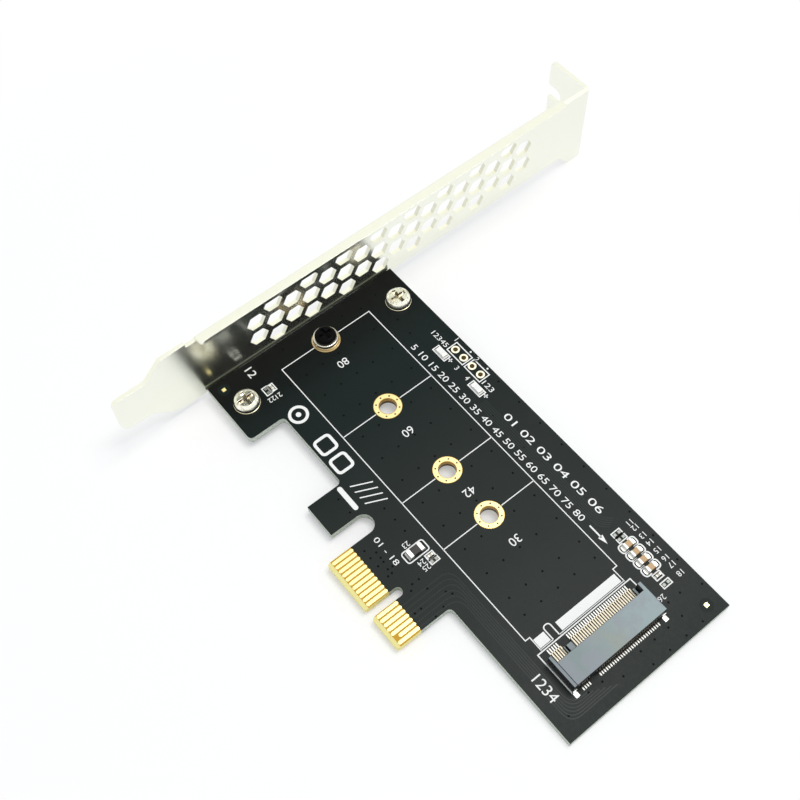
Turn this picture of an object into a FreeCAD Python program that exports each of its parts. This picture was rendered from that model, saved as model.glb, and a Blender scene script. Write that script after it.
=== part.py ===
"""Adapter card for an M.2 drive: PCIe x1 edge contacts and a full-height slot bracket. Millimetres.

The origin is the middle of the key notch, on the lower edge of the contact fingers and at half the board's
thickness. +X runs along the card away from the bracket, +Y from the contact fingers to the card's upper
edge, and +Z out of the component side.
"""
import FreeCAD
import Part
import Sketcher
import os
import re

# Driving dimensions: alias, value in millimetres, meaning
DIMENSIONS = [
    ("board_thickness", 1.6, "thickness of the circuit board"),
    ("board_near_x", 56.75, "key notch to the board's bracket end"),
    ("board_far_x", 38.95, "key notch to the board's far end"),
    ("board_top_y", 50.15, "contact edge to the board's upper edge"),
    ("board_foot_y", 4.05, "contact edge to the feet of the board's near block and hook"),
    ("board_step_y", 12.0, "contact edge to the raised stretches of the lower edge"),
    ("block_far_x", 42.05, "key notch to the near block's far side"),
    ("hook_near_x", 23.6, "key notch to the hook's near side"),
    ("hook_far_x", 16.3, "key notch to the hook's far side"),
    ("fingers_near_x", 12.15, "key notch to the near end of the fingers"),
    ("fingers_far_x", 8.15, "key notch to the far end of the fingers"),
    ("notch_width", 1.9, "width of the key notch"),
    ("notch_height", 7.5, "height of the key notch"),
    ("corner_radius", 1.0, "rounding of the board's corners"),
    ("finger_corner", 0.45, "rounding of the contact edge's corners"),
    ("bevel_length", 0.68, "height of the bevel on the contact edge"),
    ("bevel_depth", 0.32, "depth of the bevel on each face"),
    ("contact_pitch", 1.0, "pitch of the edge contacts"),
    ("contact_width", 0.7, "width of an edge contact"),
    ("contact_low_y", 0.72, "lower end of an edge contact"),
    ("contact_high_y", 5.4, "upper end of an edge contact"),
    ("contact_short_y", 2.0, "lower end of the shorter contact"),
    ("contact_far_x", 7.5, "key notch to the last edge contact"),
    ("contact_corner", 0.2, "corner cut of an edge contact's upper end"),
    ("copper", 0.05, "thickness of plating and pads"),
    ("drive_line_y", 29.05, "contact edge to the drive's centre line"),
    ("hole_80_x", 51.0, "key notch to the screw hole of an 80 mm drive"),
    ("hole_60_x", 31.0, "key notch to the screw hole of a 60 mm drive"),
    ("hole_42_x", 13.0, "key notch to the screw hole of a 42 mm drive"),
    ("hole_30_x", 1.0, "key notch to the screw hole of a 30 mm drive"),
    ("hole_radius", 1.75, "free radius of a drive screw hole"),
    ("hole_ring_radius", 2.85, "outer radius of a drive screw hole's plated sleeve"),
    ("ear_screw_x", 49.3, "key notch to the bracket screws"),
    ("ear_screw_low_y", 8.35, "contact edge to the lower bracket screw"),
    ("ear_screw_high_y", 46.4, "contact edge to the upper bracket screw"),
    ("ear_hole_radius", 1.6, "radius of the board's bracket screw holes"),
    ("header_near_x", 32.58, "key notch to the first header hole"),
    ("header_y", 47.63, "contact edge to the header holes"),
    ("header_pitch", 2.54, "pitch of the header holes"),
    ("header_hole_radius", 0.5, "free radius of a header hole"),
    ("header_ring_radius", 0.88, "outer radius of a header hole's plated sleeve"),
    ("sheet", 0.86, "thickness of the bracket's steel"),
    ("bracket_x", 57.2, "key notch to the bracket's inner face"),
    ("bracket_high_z", 17.62, "mid-board to the bracket's upper edge"),
    ("tab_tip_y", 14.27, "contact edge down to the tip of the bracket's slot tab"),
    ("tab_low_z", 3.62, "mid-board to the slot tab's lower edge"),
    ("tab_high_z", 13.78, "mid-board to the slot tab's upper edge"),
    ("tab_root_low_y", 7.55, "contact edge down to the start of the lower shoulder"),
    ("tab_root_high_y", 6.85, "contact edge down to the start of the upper shoulder"),
    ("shoulder_y", 2.9, "contact edge down to the bracket's full width"),
    ("tab_low_radius", 2.5, "rounding of the slot tab's lower tip corner"),
    ("tab_high_radius", 1.5, "rounding of the slot tab's upper tip corner"),
    ("shoulder_sweep", 4.5, "radius of the lower shoulder's two curves"),
    ("relief_y", 2.65, "contact edge to the rim's bend relief"),
    ("rim_low_y", 5.05, "contact edge to the rim's lower end"),
    ("rim_high_y", 97.55, "contact edge to the rim's upper end"),
    ("rim_reach", 1.6, "how far the rim stands over the inner face"),
    ("rim_corner", 0.9, "rounding of the rim's free corners"),
    ("neck_high_z", 16.0, "mid-board to the bracket's upper edge next to the flange"),
    ("neck_low_z", 3.97, "mid-board down to the flange's lower edge"),
    ("neck_root_y", 98.9, "contact edge to the start of the slope down to the flange's lower edge"),
    ("neck_y", 101.5, "contact edge to the foot of that slope"),
    ("flange_y", 105.75, "contact edge to the flange's outer face"),
    ("flange_x", 68.5, "key notch to the flange's free edge"),
    ("flange_corner", 1.2, "rounding of the flange's free corners"),
    ("flange_slot_x", 64.6, "key notch to the closed end of the flange's screw slot"),
    ("flange_slot_z", 7.7, "mid-board to the middle of the screw slot"),
    ("flange_slot_width", 3.6, "width of the screw slot"),
    ("bend_outside", 0.8, "outer radius of the bends"),
    ("bend_inside", 0.3, "inner radius of the bends"),
    ("ear_width", 7.4, "width of a bracket ear"),
    ("ear_end_x", 45.5, "key notch to the ends of the ears"),
    ("ear_thread_radius", 1.5, "radius of the threaded holes in the ears"),
    ("vent_middle_y", 52.45, "contact edge to the middle of the vent"),
    ("vent_low_z", 3.3, "mid-board to the vent's lowest row"),
    ("vent_row", 2.5, "step from row to row of the vent"),
    ("vent_pitch", 8.66, "pitch of the holes along a row of the vent"),
    ("vent_flats", 3.8, "width across flats of a vent hole"),
    ("ear_screw_head", 2.65, "head radius of a bracket screw"),
    ("ear_screw_height", 1.62, "head height of a bracket screw"),
    ("ear_screw_shank", 1.45, "shank radius of a bracket screw"),
    ("ear_screw_length", 3.2, "shank length of a bracket screw"),
    ("drive_screw_head", 2.2, "head radius of the drive screw"),
    ("drive_screw_height", 1.05, "head height of the drive screw"),
    ("drive_screw_shank", 0.97, "shank radius of the drive screw"),
    ("drive_screw_length", 3.0, "shank length of the drive screw"),
    ("crown_side", 0.4, "height of a pan head's straight side as a share of the head"),
    ("crown_turn_radius", 0.9, "radius of a pan head's shoulder as a share of the head"),
    ("crown_turn_height", 0.78, "height of a pan head's shoulder as a share of the head"),
    ("crown_flat", 0.7, "radius of a pan head's flat top as a share of the head"),
    ("recess_share", 0.63, "half span of a cross recess as a share of its head's radius"),
    ("recess_arm", 0.3, "width of a cross recess's arm as a share of its head's radius"),
    ("recess_depth", 0.45, "depth of a cross recess as a share of its head's height"),
    ("standoff_radius", 2.6, "radius of the standoff's collar"),
    ("standoff_height", 1.35, "height of the standoff's collar"),
    ("standoff_edge", 0.12, "chamfer of the collar's upper edge"),
    ("standoff_stem", 1.68, "radius of the standoff's stem"),
    ("standoff_bore", 1.0, "radius of the standoff's threaded bore"),
    ("nut_flats", 5.5, "width across flats of the standoff's nut"),
    ("nut_height", 1.2, "height of the standoff's nut"),
    ("nut_bore", 1.7, "radius of the nut's bore"),
    ("socket_front_x", 26.4, "key notch to the socket's front"),
    ("socket_back_x", 33.0, "key notch to the socket's back"),
    ("socket_width", 21.8, "width of the socket along the board's height"),
    ("socket_height", 3.2, "height of the socket"),
    ("socket_wall", 0.75, "thickness of the socket's end walls"),
    ("socket_roof_x", 27.95, "key notch to the front of the socket's roof"),
    ("socket_roof", 0.9, "thickness of the socket's roof"),
    ("socket_floor", 0.75, "thickness of the socket's floor"),
    ("socket_stop_x", 31.2, "key notch to the end of the socket's mouth"),
    ("socket_key_y", 6.0, "drive's centre line down to the socket's key"),
    ("socket_key", 1.2, "width of the socket's key"),
    ("socket_post", 1.75, "height of the key's post before the roof"),
    ("spring_pitch", 0.5, "pitch of the socket's contacts"),
    ("spring_width", 0.26, "width of a socket contact"),
    ("spring_strip", 0.15, "thickness of a socket contact"),
    ("front_row", 9.25, "drive's centre line to the first front contact"),
    ("back_row", 9.0, "drive's centre line to the first back contact"),
    ("front_tail_x", 24.7, "key notch to the ends of the front tails"),
    ("front_rise_x", 25.75, "key notch to the front contacts' upright"),
    ("front_bow_x", 29.4, "key notch to the tips of the front contacts"),
    ("back_tail_x", 33.85, "key notch to the ends of the back tails"),
    ("back_bow_x", 29.0, "key notch to the tips of the back contacts"),
    ("spring_bow", 0.35, "rise of a contact's tip"),
    ("bow_run", 1.0, "length of the slope up to a contact's tip"),
    ("anchor_width", 0.9, "width of the socket's solder anchors"),
    ("anchor_tail", 1.1, "length of an anchor's tail"),
    ("anchor_height", 1.1, "height of an anchor's upright"),
    ("anchor_y", 10.62, "drive's centre line to the anchors"),
    ("chip_large_length", 2.0, "length of a large chip part"),
    ("chip_large_width", 1.22, "width of a large chip part"),
    ("chip_large_height", 0.85, "height of a large chip part"),
    ("chip_small_length", 1.0, "length of a small chip part"),
    ("chip_small_width", 0.55, "width of a small chip part"),
    ("chip_small_height", 0.5, "height of a small chip part"),
    ("fuse_length", 3.2, "length of the fuse"),
    ("fuse_width", 1.6, "width of the fuse"),
    ("fuse_height", 0.9, "height of the fuse"),
    ("lamp_length", 2.3, "length of an indicator lamp"),
    ("lamp_width", 1.15, "width of an indicator lamp"),
    ("lamp_height", 0.65, "height of an indicator lamp"),
    ("terminal_share", 0.24, "length of a chip's terminal as a share of the chip"),
    ("terminal_step", 0.03, "how far a terminal stands proud of the chip's body"),
    ("filter_row_x", 19.5, "key notch to the first large capacitor"),
    ("filter_row_y", 44.45, "contact edge to the large capacitors"),
    ("filter_pitch", 1.91, "pitch of the large capacitors"),
    ("fiducial_size", 0.78, "side of a placing mark"),
]

ALIASES = {alias for alias, value, meaning in DIMENSIONS}
DRIVE_LENGTHS = (80, 60, 42, 30)
CAPACITORS = 4
HEADER_HOLES = 4
EDGE_PLACES = 20
VENT_LONG_ROW = 9
FRONT_PLACES = 38
BACK_PLACES = 37
KEYED_PLACES = 4
PLACES_ABOVE_KEY = 29

# Small chip parts: name, place along X and Y, whether they lie along Y
SMALL_CHIPS = [("small_capacitor_1", 27.09, 44.4, True), ("small_capacitor_2", -1.65, 15.5, True),
               ("small_capacitor_3", -48.9, 14.02, False)]
LAMPS = [("led_1", -33.7, 44.92), ("led_2", -22.95, 44.92)]
FUSE_PLACE = (-4.0, 13.9)

# Places left without a part: place along X and Y, whether the pads lie along Y
EMPTY_PLACES = [(29.02, 44.5, True), (16.6, 44.48, True), (17.72, 44.48, True), (-0.6, 15.5, True),
                (-48.9, 12.9, False)]
FIDUCIAL_PLACES = [(-54.5, 6.47), (36.38, 47.04)]

BOARD_TOP = "board_thickness / 2"
BOARD_UNDER = "-board_thickness / 2"
RING_TOP = "board_thickness / 2 + copper"
RING_UNDER = "-board_thickness / 2 - copper"
SHEET_OUT = "-bracket_x - sheet"


# Document and sheet

doc = FreeCAD.newDocument("adapter_card")
sheet = doc.addObject("Spreadsheet::Sheet", "Sizes")
for row, (alias, value, meaning) in enumerate(DIMENSIONS, start=1):
    sheet.set(f"A{row}", meaning)
    sheet.set(f"B{row}", str(value))
    sheet.setAlias(f"B{row}", alias)
doc.recompute()

sub_parts = []


def formula(text):
    """Write a formula's aliases as references to the sheet."""
    return re.sub(r"[a-z]\w*", lambda word: "Sizes." + word[0] if word[0] in ALIASES else word[0], str(text))


def size(text):
    """Work out a formula's present value."""
    return float(sheet.evalExpression(formula(text)))


def bind(thing, name, text):
    """Bind a property to a formula."""
    thing.setExpression(name, formula(text))


def place(thing, x, y, z):
    """Bind a sub-part's place."""
    for axis, text in zip("xyz", (x, y, z)):
        bind(thing, f"Placement.Base.{axis}", text)


# Sketches and features

def new_body(label):
    body = doc.addObject("PartDesign::Body", label)
    body.Label = label
    sub_parts.append(body)
    return body


def origin_feature(body, role):
    return next(feature for feature in body.Origin.OriginFeatures if feature.Role == role)


def new_sketch(body, plane, height="0"):
    """Start a sketch on one of the body's origin planes, moved along the plane's normal."""
    sketch = body.newObject("Sketcher::SketchObject", body.Label + "_sketch")
    sketch.AttachmentSupport = (origin_feature(body, plane), [""])
    sketch.MapMode = "FlatFace"
    bind(sketch, "AttachmentOffset.Base.z", height)
    return sketch


def constrain(sketch, text, *arguments):
    """Add a constraint whose value follows a formula."""
    kind, *geometry = arguments
    index = sketch.addConstraint(Sketcher.Constraint(kind, *geometry, size(text)))
    bind(sketch, f"Constraints[{index}]", text)


def pin(sketch, geometry, point, u, v):
    """Bind both coordinates of a point."""
    constrain(sketch, u, "DistanceX", -1, 1, geometry, point)
    constrain(sketch, v, "DistanceY", -1, 1, geometry, point)


def add_polygon(sketch, corners):
    """Draw a closed outline through corners given as pairs of formulas."""
    points = [FreeCAD.Vector(size(u), size(v), 0) for u, v in corners]
    first = sketch.GeometryCount
    for start, end in zip(points, points[1:] + points[:1]):
        sketch.addGeometry(Part.LineSegment(start, end))
    for index, (u, v) in enumerate(corners):
        following = first + (index + 1) % len(corners)
        sketch.addConstraint(Sketcher.Constraint("Coincident", first + index, 2, following, 1))
        pin(sketch, first + index, 1, u, v)


def add_rectangle(sketch, low_u, low_v, high_u, high_v):
    add_polygon(sketch, [(low_u, low_v), (high_u, low_v), (high_u, high_v), (low_u, high_v)])


def add_circle(sketch, u, v, radius):
    centre = FreeCAD.Vector(size(u), size(v), 0)
    circle = sketch.addGeometry(Part.Circle(centre, FreeCAD.Vector(0, 0, 1), size(radius)))
    pin(sketch, circle, 3, u, v)
    constrain(sketch, radius, "Radius", circle)


def add_hexagon(sketch, u, v, flats):
    """Draw a hexagon with two corners along the sketch's first axis."""
    reach = f"({flats}) / sqrt(3)"
    half = f"({flats}) / 2"
    turns = [("1", "0"), ("0.5", "1"), ("-0.5", "1"), ("-1", "0"), ("-0.5", "-1"), ("0.5", "-1")]
    add_polygon(sketch, [(f"{u} + {a} * {reach}", f"{v} + {b} * {half}") for a, b in turns])


def pad(body, sketch, length, reverse=False, symmetric=False):
    feature = body.newObject("PartDesign::Pad", body.Label + "_pad")
    feature.Profile = sketch
    feature.Reversed = reverse
    feature.SideType = "Symmetric" if symmetric else "One side"
    bind(feature, "Length", length)
    return feature


def pocket(body, sketch, depth=None):
    """Cut to a depth below the sketch, or right through both ways."""
    feature = body.newObject("PartDesign::Pocket", body.Label + "_pocket")
    feature.Profile = sketch
    if depth is None:
        feature.Type = "ThroughAll"
        feature.SideType = "Symmetric"
    else:
        bind(feature, "Length", depth)
    return feature


def revolve(body, sketch):
    """Turn a profile about the body's own Z axis."""
    feature = body.newObject("PartDesign::Revolution", body.Label + "_turning")
    feature.Profile = sketch
    feature.ReferenceAxis = (sketch, ["V_Axis"])
    feature.Angle = 360
    return feature


def repeat(body, axis, count, pitch, original=None):
    """Repeat a feature, or the whole body so far, along one of the body's axes."""
    base = body.Tip
    feature = body.newObject("PartDesign::LinearPattern", body.Label + "_row")
    if original is None:
        feature.TransformMode = "Whole shape"
    else:
        feature.Originals = [original]
    feature.BaseFeature = base
    feature.Direction = (origin_feature(body, axis), [""])
    feature.Mode = "Extent"
    feature.Occurrences = count
    bind(feature, "Length", f"{count - 1} * {pitch}")
    body.Tip = feature
    return feature


def edges_at(body, middles):
    """Find the body's edges by their middles, given as formulas."""
    doc.recompute()
    wanted = [FreeCAD.Vector(*(size(text) for text in middle)) for middle in middles]
    found = []
    for middle in wanted:
        gaps = [(edge.CenterOfMass - middle).Length for edge in body.Tip.Shape.Edges]
        nearest = min(range(len(gaps)), key=gaps.__getitem__)
        if gaps[nearest] > 0.05:
            raise RuntimeError(f"{body.Label}: no edge at {middle}, nearest is {gaps[nearest]:.3f} away")
        found.append(f"Edge{nearest + 1}")
    return found


def chamfer_edges(body, width, middles):
    names = edges_at(body, middles)
    feature = body.newObject("PartDesign::Chamfer", body.Label + "_chamfer")
    feature.Base = (feature.BaseFeature, names)
    bind(feature, "Size", width)


def round_edges(body, radius, middles):
    names = edges_at(body, middles)
    feature = body.newObject("PartDesign::Fillet", body.Label + "_rounding")
    feature.Base = (feature.BaseFeature, names)
    bind(feature, "Radius", radius)


# Circuit board

def circuit_board():
    body = new_body("circuit_board")
    half_notch = "notch_width / 2"
    outline = [
        ("-board_near_x", "board_top_y"), ("-board_near_x", "board_foot_y"), ("-block_far_x", "board_foot_y"),
        ("-block_far_x", "board_step_y"), ("-hook_near_x", "board_step_y"), ("-hook_near_x", "board_foot_y"),
        ("-hook_far_x", "board_foot_y"), ("-hook_far_x", "board_step_y"), ("-fingers_near_x", "board_step_y"),
        ("-fingers_near_x", "0"), (f"-{half_notch}", "0"), (f"-{half_notch}", "notch_height"),
        (half_notch, "notch_height"), (half_notch, "0"), ("fingers_far_x", "0"),
        ("fingers_far_x", "board_step_y"), ("board_far_x", "board_step_y"), ("board_far_x", "board_top_y")]
    sketch = new_sketch(body, "XY_Plane")
    add_polygon(sketch, outline)
    pad(body, sketch, "board_thickness", symmetric=True)
    round_edges(body, "corner_radius", [
        ("-block_far_x", "board_foot_y", "0"), ("-block_far_x", "board_step_y", "0"),
        ("-hook_near_x", "board_step_y", "0"), ("fingers_far_x", "board_step_y", "0")])
    round_edges(body, "finger_corner", [
        ("-fingers_near_x", "0", "0"), (f"-{half_notch}", "0", "0"), (half_notch, "0", "0"),
        ("fingers_far_x", "0", "0")])
    round_edges(body, "(hook_far_x - fingers_near_x) / 2.02", [
        ("-hook_far_x", "board_step_y", "0"), ("-fingers_near_x", "board_step_y", "0")])
    round_edges(body, "notch_width / 2.02", [
        (f"-{half_notch}", "notch_height", "0"), (half_notch, "notch_height", "0")])
    drill_board(body)
    bevel_fingers(body)


def drill_board(body):
    """Drill the drive and header holes to the outside of their plating, and the bracket screw holes."""
    sketch = new_sketch(body, "XY_Plane")
    for length in DRIVE_LENGTHS:
        add_circle(sketch, f"-hole_{length}_x", "drive_line_y", "hole_ring_radius")
    for height in ("ear_screw_low_y", "ear_screw_high_y"):
        add_circle(sketch, "-ear_screw_x", height, "ear_hole_radius")
    for index in range(HEADER_HOLES):
        add_circle(sketch, f"-header_near_x + {index} * header_pitch", "header_y", "header_ring_radius")
    pocket(body, sketch)


def bevel_fingers(body):
    """Bevel both faces of the contact edge."""
    sketch = new_sketch(body, "YZ_Plane")
    for side in ("", "-"):
        face = f"{side}(board_thickness / 2)"
        add_polygon(sketch, [("0", face), ("bevel_length", face),
                             ("0", f"{side}(board_thickness / 2 - bevel_depth)")])
    pocket(body, sketch)


def edge_contacts(label, height, reverse, short_place):
    """Make one face's row of contacts, cut away the two at the key notch and shorten one."""
    body = new_body(label)
    first = f"(contact_far_x - {EDGE_PLACES - 1} * contact_pitch)"
    half = "contact_width / 2"
    sketch = new_sketch(body, "XY_Plane", height)
    add_rectangle(sketch, f"{first} - {half}", "contact_low_y", f"{first} + {half}", "contact_high_y")
    pad(body, sketch, "copper", reverse=reverse)
    middle = f"{height} + copper / 2" if not reverse else f"{height} - copper / 2"
    chamfer_edges(body, "contact_corner", [
        (f"{first} - {half}", "contact_high_y", middle), (f"{first} + {half}", "contact_high_y", middle)])
    repeat(body, "X_Axis", EDGE_PLACES, "contact_pitch")
    trim = new_sketch(body, "XY_Plane")
    add_rectangle(trim, "-contact_pitch", "0", "contact_pitch", "board_step_y")
    short = f"({first} + {short_place} * contact_pitch)"
    add_rectangle(trim, f"{short} - {half} - copper", "0", f"{short} + {half} + copper", "contact_short_y")
    pocket(body, trim)


def plated_sleeve(label, outer, inner):
    """Make a hole's plating: a sleeve whose ends stand proud of both faces of the board."""
    body = new_body(label)
    sketch = new_sketch(body, "XY_Plane")
    add_circle(sketch, "0", "0", outer)
    add_circle(sketch, "0", "0", inner)
    pad(body, sketch, "board_thickness + 2 * copper", symmetric=True)
    return body


def plated_holes():
    for length in DRIVE_LENGTHS:
        body = plated_sleeve(f"m2_hole_plating_{length}", "hole_ring_radius", "hole_radius")
        place(body, f"-hole_{length}_x", "drive_line_y", "0")
    body = plated_sleeve("header_hole_plating", "header_ring_radius", "header_hole_radius")
    repeat(body, "X_Axis", HEADER_HOLES, "header_pitch")
    place(body, "-header_near_x", "header_y", "0")


# Slot bracket

def slot_bracket():
    body = new_body("slot_bracket")
    bracket_face(body)
    bracket_flange(body)
    bracket_rim(body)
    bracket_ears(body)
    bracket_bends(body)
    bracket_vent(body)


def bracket_face(body):
    """Cut the flat blank: slot tab, two shoulders, long face and the wide end at the flange."""
    relief_z = "bracket_high_z - sheet - copper"
    sketch = new_sketch(body, "YZ_Plane", SHEET_OUT)
    add_polygon(sketch, [
        ("-tab_tip_y", "tab_low_z"), ("-tab_tip_y", "tab_high_z"), ("-tab_root_high_y", "tab_high_z"),
        ("-shoulder_y", "bracket_high_z"), ("relief_y", "bracket_high_z"), ("relief_y", relief_z),
        ("rim_low_y", relief_z), ("rim_low_y", "bracket_high_z"), ("rim_high_y", "bracket_high_z"),
        ("rim_high_y", "neck_high_z"), ("flange_y", "neck_high_z"), ("flange_y", "-neck_low_z"),
        ("neck_y", "-neck_low_z"), ("neck_root_y", BOARD_UNDER), ("-shoulder_y", BOARD_UNDER),
        ("-tab_root_low_y", "tab_low_z")])
    pad(body, sketch, "sheet")
    middle = f"{SHEET_OUT} + sheet / 2"
    round_edges(body, "tab_low_radius", [(middle, "-tab_tip_y", "tab_low_z")])
    round_edges(body, "tab_high_radius", [(middle, "-tab_tip_y", "tab_high_z")])
    round_edges(body, "shoulder_sweep", [(middle, "-tab_root_low_y", "tab_low_z"),
                                         (middle, "-shoulder_y", BOARD_UNDER)])
    round_edges(body, "corner_radius", [
        (middle, "-tab_root_high_y", "tab_high_z"), (middle, "-shoulder_y", "bracket_high_z"),
        (middle, "neck_root_y", BOARD_UNDER), (middle, "neck_y", "-neck_low_z")])


def bracket_flange(body):
    """Add the flange that is screwed to the case, with its open slot."""
    slot_low = "flange_slot_z - flange_slot_width / 2"
    slot_high = "flange_slot_z + flange_slot_width / 2"
    sketch = new_sketch(body, "XZ_Plane", "-flange_y")
    add_polygon(sketch, [
        ("-bracket_x", "-neck_low_z"), ("-bracket_x", "neck_high_z"), ("-flange_x", "neck_high_z"),
        ("-flange_x", slot_high), ("-flange_slot_x", slot_high), ("-flange_slot_x", slot_low),
        ("-flange_x", slot_low), ("-flange_x", "-neck_low_z")])
    pad(body, sketch, "sheet")
    middle = "flange_y - sheet / 2"
    round_edges(body, "flange_slot_width / 2.02", [("-flange_slot_x", middle, slot_low),
                                                   ("-flange_slot_x", middle, slot_high)])
    round_edges(body, "flange_corner", [("-flange_x", middle, "-neck_low_z"),
                                        ("-flange_x", middle, "neck_high_z")])


def bracket_rim(body):
    """Fold the stiffening rim over the inner face."""
    sketch = new_sketch(body, "XY_Plane", "bracket_high_z - sheet")
    add_rectangle(sketch, SHEET_OUT, "rim_low_y", "-bracket_x + rim_reach", "rim_high_y")
    pad(body, sketch, "sheet")
    middle = "bracket_high_z - sheet / 2"
    round_edges(body, "rim_corner", [("-bracket_x + rim_reach", "rim_low_y", middle),
                                     ("-bracket_x + rim_reach", "rim_high_y", middle)])


def bracket_ears(body):
    """Fold the two threaded ears under the board."""
    middle = f"{BOARD_UNDER} - sheet / 2"
    sketch = new_sketch(body, "XY_Plane", f"{BOARD_UNDER} - sheet")
    ends = []
    for height in ("ear_screw_low_y", "ear_screw_high_y"):
        low, high = f"{height} - ear_width / 2", f"{height} + ear_width / 2"
        add_rectangle(sketch, SHEET_OUT, low, "-ear_end_x", high)
        ends += [("-ear_end_x", low, middle), ("-ear_end_x", high, middle)]
    pad(body, sketch, "sheet")
    round_edges(body, "ear_width / 2.02", ends)
    holes = new_sketch(body, "XY_Plane", BOARD_UNDER)
    for height in ("ear_screw_low_y", "ear_screw_high_y"):
        add_circle(holes, "-ear_screw_x", height, "ear_thread_radius")
    pocket(body, holes, "sheet")


def bracket_bends(body):
    """Give the folds their outer radius, and the flange its inner one."""
    flange_middle = "(neck_high_z - neck_low_z) / 2"
    rim_middle = "(rim_low_y + rim_high_y) / 2"
    outside = [("-bracket_x", "flange_y", flange_middle), (SHEET_OUT, rim_middle, "bracket_high_z")]
    for height in ("ear_screw_low_y", "ear_screw_high_y"):
        outside.append((SHEET_OUT, height, f"{BOARD_UNDER} - sheet"))
    round_edges(body, "bend_outside", outside)
    round_edges(body, "bend_inside", [(SHEET_OUT, "flange_y - sheet", flange_middle)])


def bracket_vent(body):
    """Punch the honeycomb vent: two long rows between three shorter ones."""
    for first_row, rows, count in ((1, 2, VENT_LONG_ROW), (0, 3, VENT_LONG_ROW - 1)):
        sketch = new_sketch(body, "YZ_Plane", SHEET_OUT)
        first = f"vent_middle_y - {(count - 1) / 2} * vent_pitch"
        for row in range(rows):
            add_hexagon(sketch, first, f"vent_low_z + {first_row + 2 * row} * vent_row", "vent_flats")
        hole = pocket(body, sketch)
        repeat(body, "Y_Axis", count, "vent_pitch", original=hole)


# Screws, standoff and nut

def pan_screw(label, kind):
    """Turn a pan-head screw with its seat at the body's origin and sink its cross recess."""
    body = new_body(label)
    head, height = f"{kind}_head", f"{kind}_height"
    sketch = new_sketch(body, "XZ_Plane")
    add_polygon(sketch, [
        ("0", f"-{kind}_length"), (f"{kind}_shank", f"-{kind}_length"), (f"{kind}_shank", "0"),
        (head, "0"), (head, f"crown_side * {height}"),
        (f"crown_turn_radius * {head}", f"crown_turn_height * {height}"),
        (f"crown_flat * {head}", height), ("0", height)])
    revolve(body, sketch)
    recess = new_sketch(body, "XY_Plane", height)
    reach, arm = f"recess_share * {head}", f"recess_arm * {head} / 2"
    add_polygon(recess, [
        (reach, f"-{arm}"), (reach, arm), (arm, arm), (arm, reach), (f"-{arm}", reach), (f"-{arm}", arm),
        (f"-{reach}", arm), (f"-{reach}", f"-{arm}"), (f"-{arm}", f"-{arm}"), (f"-{arm}", f"-{reach}"),
        (arm, f"-{reach}"), (arm, f"-{arm}")])
    pocket(body, recess, f"recess_depth * {height}")
    return body


def fasteners():
    for name in ("low", "high"):
        body = pan_screw(f"bracket_screw_{'lower' if name == 'low' else 'upper'}", "ear_screw")
        place(body, "-ear_screw_x", f"ear_screw_{name}_y", BOARD_TOP)
    body = pan_screw("m2_screw", "drive_screw")
    place(body, "-hole_80_x", "drive_line_y", f"{RING_TOP} + standoff_height")


def standoff():
    """Turn the threaded standoff: a collar on the board and a stem through the hole to the nut."""
    body = new_body("m2_standoff")
    sketch = new_sketch(body, "XZ_Plane")
    stem_end = "-board_thickness - 2 * copper - nut_height"
    add_polygon(sketch, [
        ("standoff_bore", stem_end), ("standoff_stem", stem_end), ("standoff_stem", "0"),
        ("standoff_radius", "0"), ("standoff_radius", "standoff_height - standoff_edge"),
        ("standoff_radius - standoff_edge", "standoff_height"), ("standoff_bore", "standoff_height")])
    revolve(body, sketch)
    place(body, "-hole_80_x", "drive_line_y", RING_TOP)


def standoff_nut():
    body = new_body("m2_standoff_nut")
    sketch = new_sketch(body, "XY_Plane")
    add_hexagon(sketch, "0", "0", "nut_flats")
    add_circle(sketch, "0", "0", "nut_bore")
    pad(body, sketch, "nut_height", reverse=True)
    place(body, "-hole_80_x", "drive_line_y", RING_UNDER)


# Drive socket, modelled about the drive's centre line with its seat on the board

def socket_housing():
    body = new_body("m2_socket_housing")
    half = "socket_width / 2"
    inner = "socket_width / 2 - socket_wall"
    mouth_top = "socket_height - socket_roof"
    block = new_sketch(body, "XY_Plane")
    add_rectangle(block, "socket_front_x", f"-{half}", "socket_back_x", half)
    pad(body, block, "socket_height")
    ledge = new_sketch(body, "XY_Plane", "socket_height")
    add_rectangle(ledge, "socket_front_x", f"-({inner})", "socket_roof_x", inner)
    pocket(body, ledge, "socket_height - socket_floor")
    mouth = new_sketch(body, "XZ_Plane")
    add_polygon(mouth, [
        ("socket_front_x", "socket_floor"), ("socket_stop_x", "socket_floor"),
        ("socket_stop_x", f"{mouth_top} - spring_strip"), ("socket_back_x", f"{mouth_top} - spring_strip"),
        ("socket_back_x", mouth_top), ("socket_front_x", mouth_top)])
    cut = pocket(body, mouth, f"2 * ({inner})")
    cut.Type = "Length"
    cut.SideType = "Symmetric"
    key_low, key_high = "-socket_key_y - socket_key / 2", "-socket_key_y + socket_key / 2"
    key = new_sketch(body, "XY_Plane", "socket_floor")
    add_rectangle(key, "socket_roof_x", key_low, "socket_stop_x", key_high)
    pad(body, key, f"{mouth_top} - socket_floor")
    post = new_sketch(body, "XY_Plane", "socket_floor")
    add_rectangle(post, "socket_front_x", key_low, "socket_roof_x", key_high)
    pad(body, post, "socket_post - socket_floor")
    place(body, "0", "drive_line_y", BOARD_TOP)


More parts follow.
